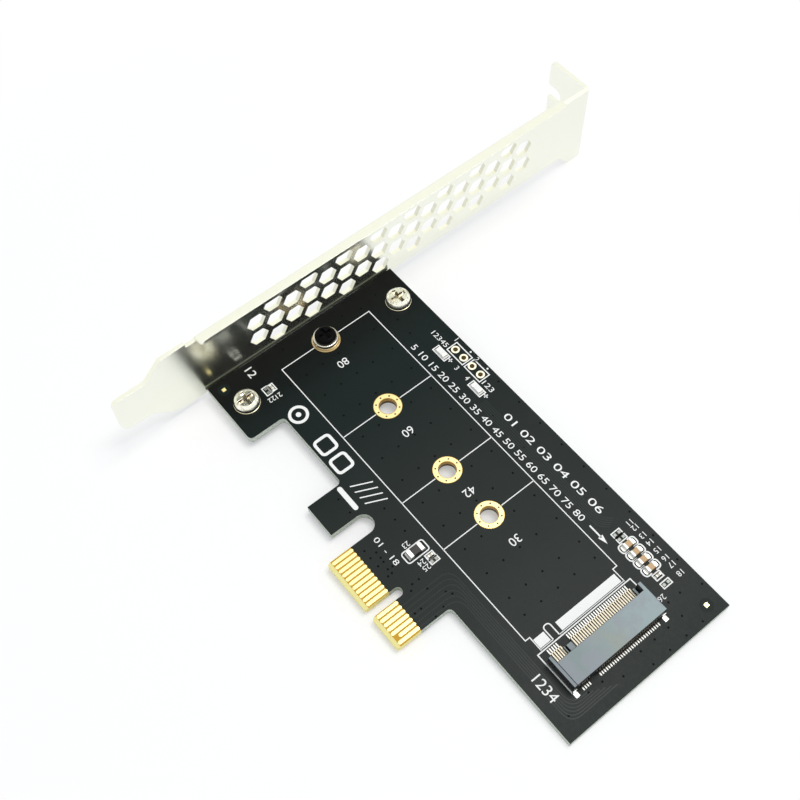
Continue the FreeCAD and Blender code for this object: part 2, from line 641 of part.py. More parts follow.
def spring_row(label, profile, first, places):
    """Bend one contact strip, repeat it along the socket and leave out those at the key."""
    body = new_body(label)
    sketch = new_sketch(body, "XZ_Plane", first)
    add_polygon(sketch, profile)
    pad(body, sketch, "spring_width", symmetric=True)
    repeat(body, "Y_Axis", places, "spring_pitch")
    key = new_sketch(body, "XY_Plane")
    key_high = f"{first} - {PLACES_ABOVE_KEY - 0.5} * spring_pitch"
    key_low = f"{key_high} - {KEYED_PLACES} * spring_pitch"
    add_rectangle(key, "front_tail_x - spring_strip", key_low, "back_tail_x + spring_strip", key_high)
    pocket(body, key)
    place(body, "0", "drive_line_y", BOARD_TOP)


def socket_contacts():
    strip = "spring_strip"
    deck = "socket_floor"
    mouth_top = "socket_height - socket_roof"
    front = [
        ("front_tail_x", "0"), (f"front_rise_x + {strip}", "0"), (f"front_rise_x + {strip}", deck),
        ("front_bow_x - bow_run", deck), ("front_bow_x", f"{deck} + spring_bow"),
        ("front_bow_x", f"{deck} + spring_bow + {strip}"), ("front_bow_x - bow_run", f"{deck} + {strip}"),
        ("front_rise_x", f"{deck} + {strip}"), ("front_rise_x", strip), ("front_tail_x", strip)]
    spring_row("m2_socket_front_contacts", front, "front_row", FRONT_PLACES)
    back = [
        ("back_tail_x", "0"), ("socket_back_x", "0"), ("socket_back_x", f"{mouth_top} - {strip}"),
        ("back_bow_x + bow_run", f"{mouth_top} - {strip}"),
        ("back_bow_x", f"{mouth_top} - {strip} - spring_bow"), ("back_bow_x", f"{mouth_top} - spring_bow"),
        ("back_bow_x + bow_run", mouth_top), (f"socket_back_x + {strip}", mouth_top),
        (f"socket_back_x + {strip}", strip), ("back_tail_x", strip)]
    spring_row("m2_socket_rear_contacts", back, "back_row", BACK_PLACES)


def socket_anchors():
    """Bend the two solder anchors behind the socket's end walls."""
    body = new_body("m2_socket_anchors")
    sketch = new_sketch(body, "XZ_Plane", "anchor_y")
    add_polygon(sketch, [
        ("socket_back_x", "0"), ("socket_back_x + anchor_tail", "0"),
        ("socket_back_x + anchor_tail", "spring_strip"), ("socket_back_x + spring_strip", "spring_strip"),
        ("socket_back_x + spring_strip", "anchor_height"), ("socket_back_x", "anchor_height")])
    pad(body, sketch, "anchor_width", symmetric=True)
    repeat(body, "Y_Axis", 2, "2 * anchor_y")
    place(body, "0", "drive_line_y", BOARD_TOP)


# Chip parts and pads

def new_box(name, length, width, height, x, y, z):
    box = doc.addObject("Part::Box", name)
    bind(box, "Length", length)
    bind(box, "Width", width)
    bind(box, "Height", height)
    place(box, x, y, z)
    return box


def new_group(label, members):
    group = doc.addObject("Part::Compound", label)
    group.Label = label
    group.Links = members
    sub_parts.append(group)


def chip(name, kind, x, y, along_y):
    """Lay a chip part on the board: a body and the two terminals that clasp its ends."""
    length, width, height = f"{kind}_length", f"{kind}_width", f"{kind}_height"
    end = f"terminal_share * {length}"
    inner = f"({length} - 2 * {end})"

    def piece(label, start, span, depth, tall):
        across = f"-({depth}) / 2"
        if along_y:
            return new_box(label, depth, span, tall, f"{x} + {across}", f"{y} + {start}", BOARD_TOP)
        return new_box(label, span, depth, tall, f"{x} + {start}", f"{y} + {across}", BOARD_TOP)

    body = piece(f"{name}_body", f"-{inner} / 2", inner,
                 f"{width} - 2 * terminal_step", f"{height} - terminal_step")
    body.Label = f"{name}_body"
    sub_parts.append(body)
    starts = (f"-{length} / 2", f"{inner} / 2")
    new_group(f"{name}_terminals", [piece(f"{name}_end", start, end, width, height) for start in starts])


def chips():
    for index in range(CAPACITORS):
        along = f"filter_row_x + {index} * filter_pitch"
        chip(f"capacitor_{index + 1}", "chip_large", along, "filter_row_y", True)
    for name, x, y, along_y in SMALL_CHIPS:
        chip(name, "chip_small", x, y, along_y)
    for name, x, y in LAMPS:
        chip(name, "lamp", x, y, False)
    chip("fuse", "fuse", *FUSE_PLACE, True)


def flat_marks():
    """Lay the bare pads of the empty places and the two placing marks."""
    half = "chip_small_width / 2"
    pads = []
    for x, y, along_y in EMPTY_PLACES:
        for side in ("-", "+"):
            step = f"{side} chip_small_length / 2"
            pad_x = f"{x} - {half}" if along_y else f"{x} {step} - {half}"
            pad_y = f"{y} {step} - {half}" if along_y else f"{y} - {half}"
            pads.append(new_box("pad", "chip_small_width", "chip_small_width", "copper",
                                pad_x, pad_y, BOARD_TOP))
    new_group("bare_pads", pads)
    marks = [new_box("mark", "fiducial_size", "fiducial_size", "copper", f"{x} - fiducial_size / 2",
                     f"{y} - fiducial_size / 2", BOARD_TOP) for x, y in FIDUCIAL_PLACES]
    new_group("fiducial_marks", marks)


# Build, check and write

def check_document():
    """Stop if an object failed to build or a sub-part has no valid shape."""
    doc.recompute()
    failed = [thing.Name for thing in doc.Objects if {"Invalid", "Error"} & set(thing.State)]
    if failed:
        raise RuntimeError("failed to build: " + ", ".join(failed))
    for thing in sub_parts:
        if thing.Shape.isNull() or not thing.Shape.isValid() or not thing.Shape.Solids:
            raise RuntimeError("no valid shape: " + thing.Label)


def main():
    circuit_board()
    edge_contacts("edge_contacts_component_side", BOARD_TOP, False, EDGE_PLACES - 2)
    edge_contacts("edge_contacts_solder_side", BOARD_UNDER, True, 0)
    plated_holes()
    slot_bracket()
    fasteners()
    standoff()
    standoff_nut()
    socket_housing()
    socket_contacts()
    socket_anchors()
    chips()
    flat_marks()
    check_document()
    os.makedirs("parts", exist_ok=True)
    for thing in sub_parts:
        thing.Shape.exportStep(os.path.join("parts", thing.Label + ".step"))
        print(f"{thing.Label}: {len(thing.Shape.Solids)} solids, {thing.Shape.Volume:.2f} cubic mm")


main()
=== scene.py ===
"""Looks of a drive adapter card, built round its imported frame, in metres."""
import math

import bmesh
import bpy
from bpy.props import FloatProperty, FloatVectorProperty, PointerProperty
from mathutils import Matrix, Vector


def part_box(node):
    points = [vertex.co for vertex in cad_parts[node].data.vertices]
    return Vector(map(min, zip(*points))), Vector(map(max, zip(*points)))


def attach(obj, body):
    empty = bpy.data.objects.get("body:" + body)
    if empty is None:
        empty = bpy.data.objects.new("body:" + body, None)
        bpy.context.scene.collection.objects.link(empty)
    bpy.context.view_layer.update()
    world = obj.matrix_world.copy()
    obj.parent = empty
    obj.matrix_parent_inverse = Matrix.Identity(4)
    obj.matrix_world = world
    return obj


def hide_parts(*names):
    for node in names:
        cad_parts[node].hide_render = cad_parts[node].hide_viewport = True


bl_info = {
    "name": "Drive adapter card",
    "version": (1, 0, 0),
    "blender": (4, 5, 0),
    "location": "View3D > Sidebar > Card",
    "description": "Finishes a drive adapter card: board, print, bracket, screws, socket, chips, stage",
    "category": "Object",
}

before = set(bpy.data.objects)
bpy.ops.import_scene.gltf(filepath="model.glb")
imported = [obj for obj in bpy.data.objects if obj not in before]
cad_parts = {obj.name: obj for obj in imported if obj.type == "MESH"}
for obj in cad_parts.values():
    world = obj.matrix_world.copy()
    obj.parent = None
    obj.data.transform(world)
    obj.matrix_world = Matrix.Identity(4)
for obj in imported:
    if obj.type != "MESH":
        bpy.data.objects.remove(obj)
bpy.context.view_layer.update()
MM = 0.001
BODY = "root"


def middle(node):
    """Give the middle of a node's box."""
    low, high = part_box(node)
    return (low + high) / 2


def mm(*values):
    """Turn millimetres into metres."""
    return tuple(value * MM for value in values)


# Places read from the frame
BOARD_LOW, BOARD_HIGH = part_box("circuit_board")
BOARD_TOP = BOARD_HIGH.z
BOARD_UNDER = BOARD_LOW.z
DRIVE_LENGTHS = (80, 60, 42, 30)
OPEN_LENGTHS = DRIVE_LENGTHS[1:]
DRIVE_HOLES = {drive: middle(f"m2_hole_plating_{drive}") for drive in DRIVE_LENGTHS}
STANDOFF_HOLE = DRIVE_HOLES[80]
RING_LOW, RING_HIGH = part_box("m2_hole_plating_60")
RING_RADIUS = (RING_HIGH.x - RING_LOW.x) / 2
FINGERS_LOW, FINGERS_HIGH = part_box("edge_contacts_component_side")
SOCKET_LOW, SOCKET_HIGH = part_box("m2_socket_housing")
FRONT_CONTACTS = "m2_socket_front_contacts"
REAR_CONTACTS = "m2_socket_rear_contacts"
BRACKET_SCREWS = ("bracket_screw_lower", "bracket_screw_upper")
LARGE_CAPACITORS = [f"capacitor_{number}" for number in (1, 2, 3, 4)]
SMALL_CAPACITORS = [f"small_capacitor_{number}" for number in (1, 2, 3)]
LAMPS = ["led_1", "led_2"]

# Free drive holes, bracket sheet, screw shanks, and how deep and how high thin layers reach
FREE_RADIUS = 1.75 * MM
SHEET = 0.86 * MM
SHANK_RADIUS = 1.5 * MM
SINK = 0.01 * MM
RING_SINK = 0.02 * MM
DOT_RISE = 0.004 * MM
EDGE_RISE = 0.003 * MM

# Points closer than this count as one
TOUCH = 0.001 * MM

# Edge contacts and socket contacts: pitch, width, places along the row and places left out at the key
FINGER_PITCH = 1.0 * MM
FINGER_PLACES = 20
FINGER_KEY = (11, 12)
FINGER_WIDTH = 0.66 * MM
FINGER_SHORTER = 0.92 * MM
SPRING_PITCH = 0.5 * MM
SPRING_WIDTH = 0.26 * MM
FRONT_PLACES = 38
BACK_PLACES = 37
SPRING_KEY = range(29, 33)


# User settings

def length(name, description, millimetres):
    return FloatProperty(name=name, description=description, default=millimetres * MM, min=0, unit="LENGTH",
                         precision=5)


def share(name, description, value):
    return FloatProperty(name=name, description=description, default=value, min=0, max=1, subtype="FACTOR")


def colour(name, of_what, value):
    return FloatVectorProperty(name=name, description=f"Colour of {of_what}", default=value, min=0, max=1,
                               subtype="COLOR")


class CardSizes(bpy.types.PropertyGroup):
    """Sizes of the detail on the card."""

    print_line: length("Print line", "Width of the print's thin lines", 0.24)
    print_bold: length("Print bold line", "Width of the print's bold lines", 0.62)
    print_height: length("Print height", "Height of the print over the board", 0.02)
    via_radius: length("Via radius", "Radius of a filled via", 0.22)
    clearing_radius: length("Clearing radius", "Radius of the clearing round a placing mark", 1.3)
    trace_width: length("Trace width", "Width of a copper trace under the mask", 0.2)
    trace_pitch: length("Trace pitch", "Distance from trace to trace in a bundle", 0.45)
    trace_height: length("Trace height", "Height of a trace under the mask", 0.012)
    ring_dot: length("Ring dot", "Radius of the small holes in a plated ring", 0.19)
    ring_edge: length("Ring edge", "Width of the darker edges of a plated ring", 0.09)
    screw_ring: length("Screw ring", "Outer radius of the plated ring under a bracket screw", 2.7)
    bracket_edge: length("Bracket edge", "Width of the bracket's rounded edges", 0.09)
    screw_edge: length("Screw edge", "Width of the rounded edges of screws and nut", 0.05)
    standoff_edge: length("Standoff edge", "Width of the standoff's rounded edges", 0.08)
    thread_pitch: length("Thread pitch", "Pitch of the bracket screws' thread", 0.5)
    thread_depth: length("Thread depth", "Depth of the bracket screws' thread", 0.09)
    socket_edge: length("Socket edge", "Width of the socket's rounded edges", 0.07)
    socket_groove: length("Socket groove", "Depth of the groove across the socket's roof", 0.22)
    chip_edge: length("Chip edge", "Width of a chip's rounded edges", 0.06)
    solder_run: length("Solder run", "Length of a solder fillet at a chip's end", 0.3)


class CardColours(bpy.types.PropertyGroup):
    """Colours of the card's finishes."""

    mask: colour("Solder mask", "the board's faces", (0.0035, 0.0105, 0.0102))
    # Painted reflection: the paler mask stands for the board's sheen away from the bracket; the traces start
    # from it too.
    mask_pale: colour("Pale mask", "the board's faces far from the bracket", (0.0135, 0.019, 0.0178))
    laminate: colour("Laminate", "the board's cut edges", (0.6, 0.65, 0.57))
    bare_laminate: colour("Bare laminate", "the board between the edge contacts", (0.6, 0.34, 0.03))
    bevel_laminate: colour("Bevelled laminate", "the bevelled contact edge", (1.0, 0.9, 0.38))
    print_white: colour("Print", "the white print", (0.95, 0.955, 0.945))
    gold: colour("Gold", "the gold plating", (0.88, 0.75, 0.37))
    standoff_gold: colour("Standoff gold", "the ring under the standoff", (0.74, 0.64, 0.42))
    header_gold: colour("Header gold", "the header holes' plating", (0.97, 0.92, 0.74))
    # Also colours the painted shade round the standoff.
    gold_edge: colour("Gold edge", "the darker edges of a plated ring", (0.4, 0.25, 0.07))
    # Painted reflection: the deeper gold stands for the plating mirroring itself in a hole.
    gold_wall: colour("Gold in holes", "the plating inside a hole", (0.56, 0.32, 0.06))
    # Painted shade: dark discs stand for the small holes in a plated ring.
    ring_hole: colour("Ring holes", "the small holes in a plated ring", (0.11, 0.05, 0.006))
    steel: colour("Bracket", "the bracket's plated steel", (0.925, 0.935, 0.845))
    cut_steel: colour("Punched edges", "the bracket's punched edges", (0.95, 0.95, 0.82))
    nickel: colour("Nickel", "the bracket screws", (0.96, 0.95, 0.88))
    # Also darkens the screws' cross recesses as painted shade.
    stain: colour("Stain", "the stains on the bracket screws", (0.36, 0.28, 0.16))
    standoff: colour("Standoff", "the standoff and its nut", (0.74, 0.72, 0.65))
    ring: colour("Screw rings", "the rings under screws and standoff", (0.82, 0.76, 0.6))
    oxide: colour("Black oxide", "the drive screw", (0.003, 0.003, 0.0035))
    socket: colour("Socket", "the socket's sides", (0.008, 0.009, 0.011))
    socket_roof: colour("Socket roof", "the socket's roof", (0.19, 0.245, 0.255))
    roof_warm: colour("Socket roof patch", "the roof's warm patch near its middle", (0.26, 0.27, 0.21))
    roof_cool: colour("Socket roof clouds", "the cool clouds on the roof", (0.235, 0.25, 0.3))
    contact: colour("Contacts", "the socket's contacts", (0.38, 0.35, 0.28))
    tin: colour("Tin", "soldered ends", (0.9, 0.91, 0.9))
    pad: colour("Bare pads", "the tinned pads of empty places", (0.26, 0.28, 0.26))
    ceramic: colour("Ceramic", "the capacitors", (0.56, 0.36, 0.18))
    pale_ceramic: colour("Pale ceramic", "the small capacitors", (0.62, 0.57, 0.45))
    lamp: colour("Lamp", "the indicator lamps", (0.97, 0.97, 0.93))
    fuse: colour("Fuse", "the fuse's body", (0.012, 0.012, 0.013))


class StageSettings(bpy.types.PropertyGroup):
    """Camera, lamps and floor."""

    camera_place: FloatVectorProperty(
        name="Camera place", description="Where the camera stands", subtype="TRANSLATION", unit="LENGTH",
        default=(61.525 * MM, -36.507 * MM, 196.479 * MM))
    camera_turn: FloatVectorProperty(
        name="Camera turn", description="How the camera is turned", subtype="EULER", unit="ROTATION",
        default=(math.radians(30.335), math.radians(1.369), math.radians(51.12)))
    lens: FloatProperty(name="Lens", description="Focal length of the lens", default=52.253, unit="CAMERA")
    floor_size: length("Floor size", "Side of the floor", 4000)
    floor_white: share("Floor white", "Share of plain white that the floor shows under the card", 0.35)
    floor_tint: colour("Floor", "the floor", (0.99, 0.99, 0.995))
    floor_near: length("Shadow start", "Distance from which the shadow fades", 60)
    floor_far: length("Shadow end", "Distance from which the floor is plain white", 130)
    ambient: share("Ambient", "Strength of the light from all round", 0.66)
    cool_white: colour("Cool white", "the light from all round", (0.925, 0.97, 1.0))
    warm_white: colour("Warm white", "the surround as gloss shows it", (1.0, 1.0, 0.93))
    key_power: FloatProperty(name="Key power", description="Power of the soft lamp", default=4.4, min=0,
                             unit="POWER")
    key_tint: colour("Key tint", "the soft lamp", (1.0, 0.975, 0.94))
    key_size: length("Key size", "Side of the soft lamp", 450)
    key_side: FloatVectorProperty(name="Key side", description="Where the soft lamp hangs over the card",
                                  default=(0.05, 0.27, 0.96), subtype="DIRECTION")


# Shader maths

def maths(operation, turned=False):
    """Make a method that sends a value and another through a Math node."""
    def method(self, other=0.0):
        first, second = (other, self) if turned else (self, other)
        return self.finish.node("ShaderNodeMath", {"operation": operation}, {0: first, 1: second})

    return method


class Value:
    """A number or colour on its way through a node tree; arithmetic on numbers adds Math nodes."""

    def __init__(self, finish, socket):
        self.finish = finish
        self.socket = socket

    __add__ = __radd__ = maths("ADD")
    __sub__ = maths("SUBTRACT")
    __rsub__ = maths("SUBTRACT", turned=True)
    __mul__ = __rmul__ = maths("MULTIPLY")
    __lt__ = maths("LESS_THAN")
    __gt__ = maths("GREATER_THAN")
    __abs__ = maths("ABSOLUTE")
    sine = maths("SINE")
    either = maths("MAXIMUM")


class Finish:
    """A node tree under construction."""

    def __init__(self, tree):
        self.tree = tree
        self.tree.nodes.clear()

    def node(self, kind, settings=None, inputs=None, output=0):
        """Add a node: its settings first, then the values or links of its sockets."""
        made = self.tree.nodes.new(kind)
        for name, value in (settings or {}).items():
            setattr(made, name, value)
        for key, value in (inputs or {}).items():
            socket = made.inputs[key]
            if isinstance(value, Value):
                self.tree.links.new(value.socket, socket)
            elif socket.type == "RGBA":
                socket.default_value = (*tuple(value)[:3], 1)
            else:
                socket.default_value = value
        return Value(self, made.outputs[output]) if made.outputs else None

    def place(self):
        return self.node("ShaderNodeTexCoord", output="Object")

    def axes(self, vector):
        parts = self.node("ShaderNodeSeparateXYZ", inputs={0: vector})
        return [Value(self, socket) for socket in parts.socket.node.outputs]

    def spot(self):
        """Give the place on the card as three values."""
        return self.axes(self.place())

    def facing(self):
        """Give the surface's normal as three values."""
        return self.axes(self.node("ShaderNodeNewGeometry", output="True Normal"))

    def noise(self, grain, detail=3.0, stretch=(1, 1, 1)):
        """Give a noise whose grain is a length, made finer along the axes by stretch."""
        spread = self.node("ShaderNodeMapping", inputs={"Vector": self.place(), "Scale": stretch})
        return self.node("ShaderNodeTexNoise",
                         inputs={"Vector": spread, "Scale": 1 / grain, "Detail": detail})

    def fade(self, value, start, end):
        """Map a value to 0 at start and 1 at end."""
        return self.node("ShaderNodeMapRange", {"interpolation_type": "SMOOTHSTEP"},
                         {"Value": value, "From Min": start, "From Max": end})

    def blend(self, factor, first, second):
        """Mix two colours."""
        return self.node("ShaderNodeMix", {"data_type": "RGBA"}, {0: factor, 6: first, 7: second}, output=2)

    def shades(self, factor, tint, first, second):
        """Mix two shades of one colour."""
        return self.blend(factor, shade(tint, first), shade(tint, second))

    def bump(self, height, depth):
        """Turn a height from 0 to 1 into a bumped normal."""
        return self.node("ShaderNodeBump", inputs={"Strength": 1.0, "Distance": depth, "Height": height},
                         output="Normal")


def shade(value, amount):
    """Darken or lighten a colour."""
    return tuple(min(1.0, part * amount) for part in value)


def new_material(name, shader):
    """Make a material from a function of its finish that gives the shader."""
    material = bpy.data.materials.new(name)
    material.use_nodes = True
    finish = Finish(material.node_tree)
    finish.node("ShaderNodeOutputMaterial", inputs={"Surface": shader(finish)})
    return material


def finish_maker(inputs):
    """Turn a function that gives the main shader's inputs into one that makes a material of a given name."""
    def make(name, *choices, **more):
        def shader(finish):
            return finish.node("ShaderNodeBsdfPrincipled", inputs=inputs(finish, *choices, **more))

        return new_material(name, shader)

    return make


# Finishes

@finish_maker
def grained(finish, tint, shades, grain_size, roughness, spread=0.0, level=0.5, depth=0.0, detail=3.0):
    """Plain finish: two shades of a tint in a grain that can vary its gloss and raise its skin."""
    grain = finish.noise(grain_size, detail)
    looks = {"Base Color": finish.shades(grain, tint, *shades), "Specular IOR Level": level}
    looks["Roughness"] = roughness + spread * grain if spread else roughness
    if depth:
        looks["Normal"] = finish.bump(grain, depth)
    return looks


@finish_maker
def solder_mask(finish, colours):
    """Satin mask, painted darkest at the bracket and paler from the standoff to the socket as reflection,
    with bare laminate on cut edges and between the edge contacts.
    """
    weave_turns = 2 * math.pi / (0.42 * MM)
    lip = BOARD_TOP - 0.09 * MM
    at_bracket, at_standoff, at_middle = mm(-56, -38, -8)
    at_socket, past_end = mm(28, 42)
    x, y, z = finish.spot()
    across, _, upward = finish.facing()
    flat = finish.fade(abs(upward), 0.9, 0.98)
    fingers = (y < FINGERS_HIGH.y - 0.1 * MM) * (x > FINGERS_LOW.x - FINGER_PITCH)
    fingers = fingers * (x < FINGERS_HIGH.x + FINGER_PITCH)
    fibres = finish.noise(0.5 * MM, 4, (1, 1, 5))
    cut = (1 - flat) * (abs(z) < lip)
    clouds = finish.noise(9 * MM, 2)
    face = finish.shades(clouds, colours.mask, 0.8, 1.25)
    # Painted reflection: the faces turn paler from the standoff to the socket and near black at the bracket.
    pale = finish.shades(clouds, colours.mask_pale, 0.8, 1.2)
    far = finish.fade(x, at_standoff, at_middle) * finish.fade(x, past_end, at_socket)
    face = finish.blend(far, face, pale)
    face = finish.blend(finish.fade(x, at_standoff, at_bracket), face, shade(colours.mask, 0.1))
    edge = finish.shades(finish.fade(fibres, 0.35, 0.6), colours.laminate, 0.6, 1.15)
    # Painted shade: the cut edge facing the bracket goes near black below a band along its top.
    upper = finish.fade(z, BOARD_TOP - 0.65 * MM, BOARD_TOP - 0.4 * MM)
    painted_gap_shade = finish.shades(upper, colours.laminate, 0.06, 0.9)
    edge = finish.blend(finish.fade(across, -0.5, -0.9), edge, painted_gap_shade)
    tip = finish.shades(fibres, colours.bevel_laminate, 0.85, 1.0)
    base = finish.blend(cut, face, edge)
    base = finish.blend(fingers * flat, base, colours.bare_laminate)
    base = finish.blend(fingers * (1 - flat), base, tip)
    weave = (x * weave_turns).sine() * (y * weave_turns).sine()
    height = 0.5 + 0.3 * weave + 0.4 * finish.noise(0.2 * MM, 2)
    return {"Base Color": base, "Roughness": 0.3 + 0.3 * cut + 0.12 * finish.noise(0.6 * MM),
            "Specular IOR Level": 0.13, "Normal": finish.bump(height, 0.008 * MM)}


def covered_copper(colours):
    """Mask over a copper trace, a little paler and smoother than the board."""
    return grained("covered_copper", colours.mask_pale, (1.0, 1.6), 0.8 * MM, 0.28, 0.1, level=0.17)


def via_fill(colours):
    """Dark filling of a via."""
    return grained("via_fill", colours.mask, (0.1, 0.35), 0.3 * MM, 0.35, 0.2, level=0.05)


def bare_board(colours):
    """Bare board in the clearing round a placing mark, a little darker than the mask."""
    return grained("bare_board", colours.mask, (0.6, 1.0), 0.4 * MM, 0.34, 0.12, level=0.13)


def white_print(colours):
    """Matt white ink with a slight grain."""
    return grained("white_print", colours.print_white, (0.9, 1.0), 0.15 * MM, 0.6, depth=0.006 * MM)


def ring_hole(colours):
    """Painted shade of the small holes in a plated ring, in dark brown."""
    return grained("ring_hole", colours.ring_hole, (0.6, 1.0), 0.1 * MM, 0.5)


def black_oxide(colours):
    """Oiled black steel."""
    return grained("black_oxide", colours.oxide, (0.6, 1.5), 0.25 * MM, 0.24, 0.2, level=0.05,
                   depth=0.006 * MM)


def chip_body(name, tint, roughness):
    """Matt fired or moulded chip body."""
    return grained(name, tint, (0.85, 1.1), 0.12 * MM, roughness, 0.15, depth=0.006 * MM, detail=4.0)


@finish_maker
def gold_plating(finish, colours, tint):
    """Pale gold, painted deeper on the walls of holes as its reflection of itself, and painted darker towards
    the board's lower face as shade.
    """
    depth = finish.spot()[2]
    wall = finish.fade(abs(finish.facing()[2]), 0.6, 0.3)
    grain = finish.noise(0.35 * MM)
    mottle = finish.fade(finish.noise(0.22 * MM), 0.42, 0.62)
    inside = finish.shades(mottle, colours.gold_wall, 0.45, 1.0)
    # Painted shade: the walls darken to near black towards the board's lower face.
    inside = finish.blend(finish.fade(depth, 0.1 * MM, -0.5 * MM), inside, shade(colours.gold_wall, 0.04))
    face = finish.shades(grain, tint, 0.94, 1.0)
    return {"Base Color": finish.blend(wall, face, inside), "Metallic": 1.0,
            "Roughness": 0.26 + 0.14 * grain, "Normal": finish.bump(grain, 0.004 * MM)}


@finish_maker
def bright_metal(finish, tint, roughness, grain_size, depth):
    """Plated metal with slight clouds in its gloss and a fine uneven skin."""
    clouds = finish.noise(6 * grain_size)
    grain = finish.noise(grain_size, 4)
    return {"Base Color": finish.shades(clouds, tint, 0.95, 1.0), "Metallic": 1.0,
            "Roughness": roughness + 0.08 * clouds, "Normal": finish.bump(grain, depth)}


@finish_maker
def bracket_steel(finish, colours):
    """Bright plated sheet with a fine rolled grain, yellower and rougher on its punched edges, with painted
    shade on the punched walls that face −Y.
    """
    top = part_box("slot_bracket")[1].z
    inner_face = -57.2 * MM
    outer_face = inner_face - SHEET
    vent_start, rim = mm(8, 1.2)
    x, y, z = finish.spot()
    across, along, _ = finish.facing()
    vent = (y > vent_start) * (z < top - rim) * (z > BOARD_TOP)
    sheet = vent * (x > outer_face) * (x < inner_face)
    punched = finish.fade(abs(across), 0.5, 0.2) * sheet
    clouds = finish.noise(2 * MM)
    rolled = finish.noise(0.1 * MM, 3, (1, 0.08, 1))
    # Painted shade: punched walls facing −Y are darker.
    edge = finish.shades(finish.fade(along, 0.1, -0.6), colours.cut_steel, 1.0, 0.82)
    face = finish.shades(clouds, colours.steel, 0.97, 1.0)
    return {"Base Color": finish.blend(punched, face, edge), "Metallic": 1.0,
            "Roughness": 0.2 + 0.06 * clouds + 0.2 * punched, "Normal": finish.bump(rolled, 0.0003 * MM)}


@finish_maker
def screw_nickel(finish, colours, screw):
    """Bright plated screw with brown stains, and painted shade in its cross recess."""
    centre = middle(screw)
    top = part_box(screw)[1].z
    reach = 1.45 * MM
    x, y, z = finish.spot()
    aside, along = x - centre.x, y - centre.y
    inner = aside * aside + along * along < reach * reach
    recess = inner * finish.fade(z, top - 0.12 * MM, top - 0.34 * MM)
    stains = finish.fade(finish.noise(0.7 * MM, 2), 0.5, 0.68)
    face = finish.blend(0.55 * stains, colours.nickel, colours.stain)
    # Painted shade: the cross recess is darkened towards a deep brown.
    return {"Base Color": finish.blend(0.8 * recess, face, shade(colours.stain, 0.6)), "Metallic": 1.0,
            "Roughness": 0.14 + 0.1 * stains, "Normal": finish.bump(finish.noise(0.5 * MM), 0.008 * MM)}


@finish_maker
def socket_plastic(finish, colours):
    """Black moulded plastic under a pale satin roof, which carries a painted sheen that brightens towards its
    +Y end.
    """
    _, y, z = finish.spot()
    roof = finish.fade(finish.facing()[2], 0.9, 0.97) * (z > BOARD_TOP + 1.4 * MM)
    groove = (z > SOCKET_HIGH.z - 0.3 * MM) * (z < SOCKET_HIGH.z - 0.1 * MM)
    clouds = finish.noise(4 * MM, 2)
    patches = finish.fade(finish.noise(2.6 * MM, 2), 0.42, 0.6)
    grain = finish.noise(0.12 * MM)
    # Painted sheen: the roof brightens towards +Y.
    along = finish.fade(y, SOCKET_LOW.y, SOCKET_HIGH.y)
    top = finish.shades(0.3 * clouds + 0.7 * along, colours.socket_roof, 0.86, 1.5)
    top = finish.blend(0.5 * patches, top, colours.roof_cool)
    centre = (SOCKET_LOW.y + SOCKET_HIGH.y) / 2
    warm = finish.fade(abs(y - centre), 4 * MM, 0.5 * MM) * finish.fade(clouds, 0.35, 0.65)
    top = finish.blend(0.5 * warm, top, colours.roof_warm)
    roof = roof * (1 - groove)
    return {"Base Color": finish.blend(roof, colours.socket, top), "Roughness": 0.36 + 0.16 * grain,
            "Normal": finish.bump(grain, 0.005 * MM)}


@finish_maker
def contact_alloy(finish, colours):
    """Tinned tails that turn to warm gilt springs above the board; at the back of the housing the springs and
    the tails' heels carry painted shade.
    """
    tail_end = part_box(REAR_CONTACTS)[1].x
    x, _, z = finish.spot()
    spring = finish.fade(z, BOARD_TOP + 0.25 * MM, BOARD_TOP + 0.5 * MM)
    # Painted shade: at the back of the housing the rising springs and the heels of the tails go near black.
    heel = finish.fade(x, tail_end - 0.45 * MM, tail_end - 0.6 * MM)
    shaded_rear = spring.either(heel) * (x > SOCKET_HIGH.x - 0.05 * MM)
    grain = finish.noise(0.2 * MM)
    base = finish.blend(spring, shade(colours.tin, 0.46), colours.contact)
    return {"Base Color": finish.blend(shaded_rear, base, shade(colours.contact, 0.15)), "Metallic": 1.0,
            "Roughness": 0.36 + 0.12 * grain}


# Mesh tools

def skin(work, loops, closed=False):
    """Skin loops of equal count in order, and either cap both ends or join the last to the first."""
    rings = [[work.verts.new(point) for point in loop] for loop in loops]
    pairs = list(zip(rings, rings[1:] + rings[:1] if closed else rings[1:]))
    for near, far in pairs:
        for here in range(len(near)):
            there = (here + 1) % len(near)
            work.faces.new((near[here], near[there], far[there], far[here]))
    if not closed:
        work.faces.new(rings[0][::-1])
        work.faces.new(rings[-1])


def plate(work, outline, low, high):
    """Raise a flat outline into a plate."""
    skin(work, [[(x, y, low) for x, y in outline], [(x, y, high) for x, y in outline]])


def layers(under, top, rise, sink):
    """Give the heights of a thin layer on a plate's upper face, and of one on its lower face."""
    return (top - sink, top + rise), (under - rise, under + sink)


def box_outline(low_x, low_y, high_x, high_y):
    return [(low_x, low_y), (high_x, low_y), (high_x, high_y), (low_x, high_y)]


def arch(x, reach, inner, outer):
    """Give the corners of an arch across x, open at its inner end."""
    return [(x - reach, inner), (x - reach, outer), (x + reach, outer), (x + reach, inner)]


def circle(x, y, radius, steps=20):
    turns = [2 * math.pi * step / steps for step in range(steps)]
    return [(x + radius * math.cos(turn), y + radius * math.sin(turn)) for turn in turns]


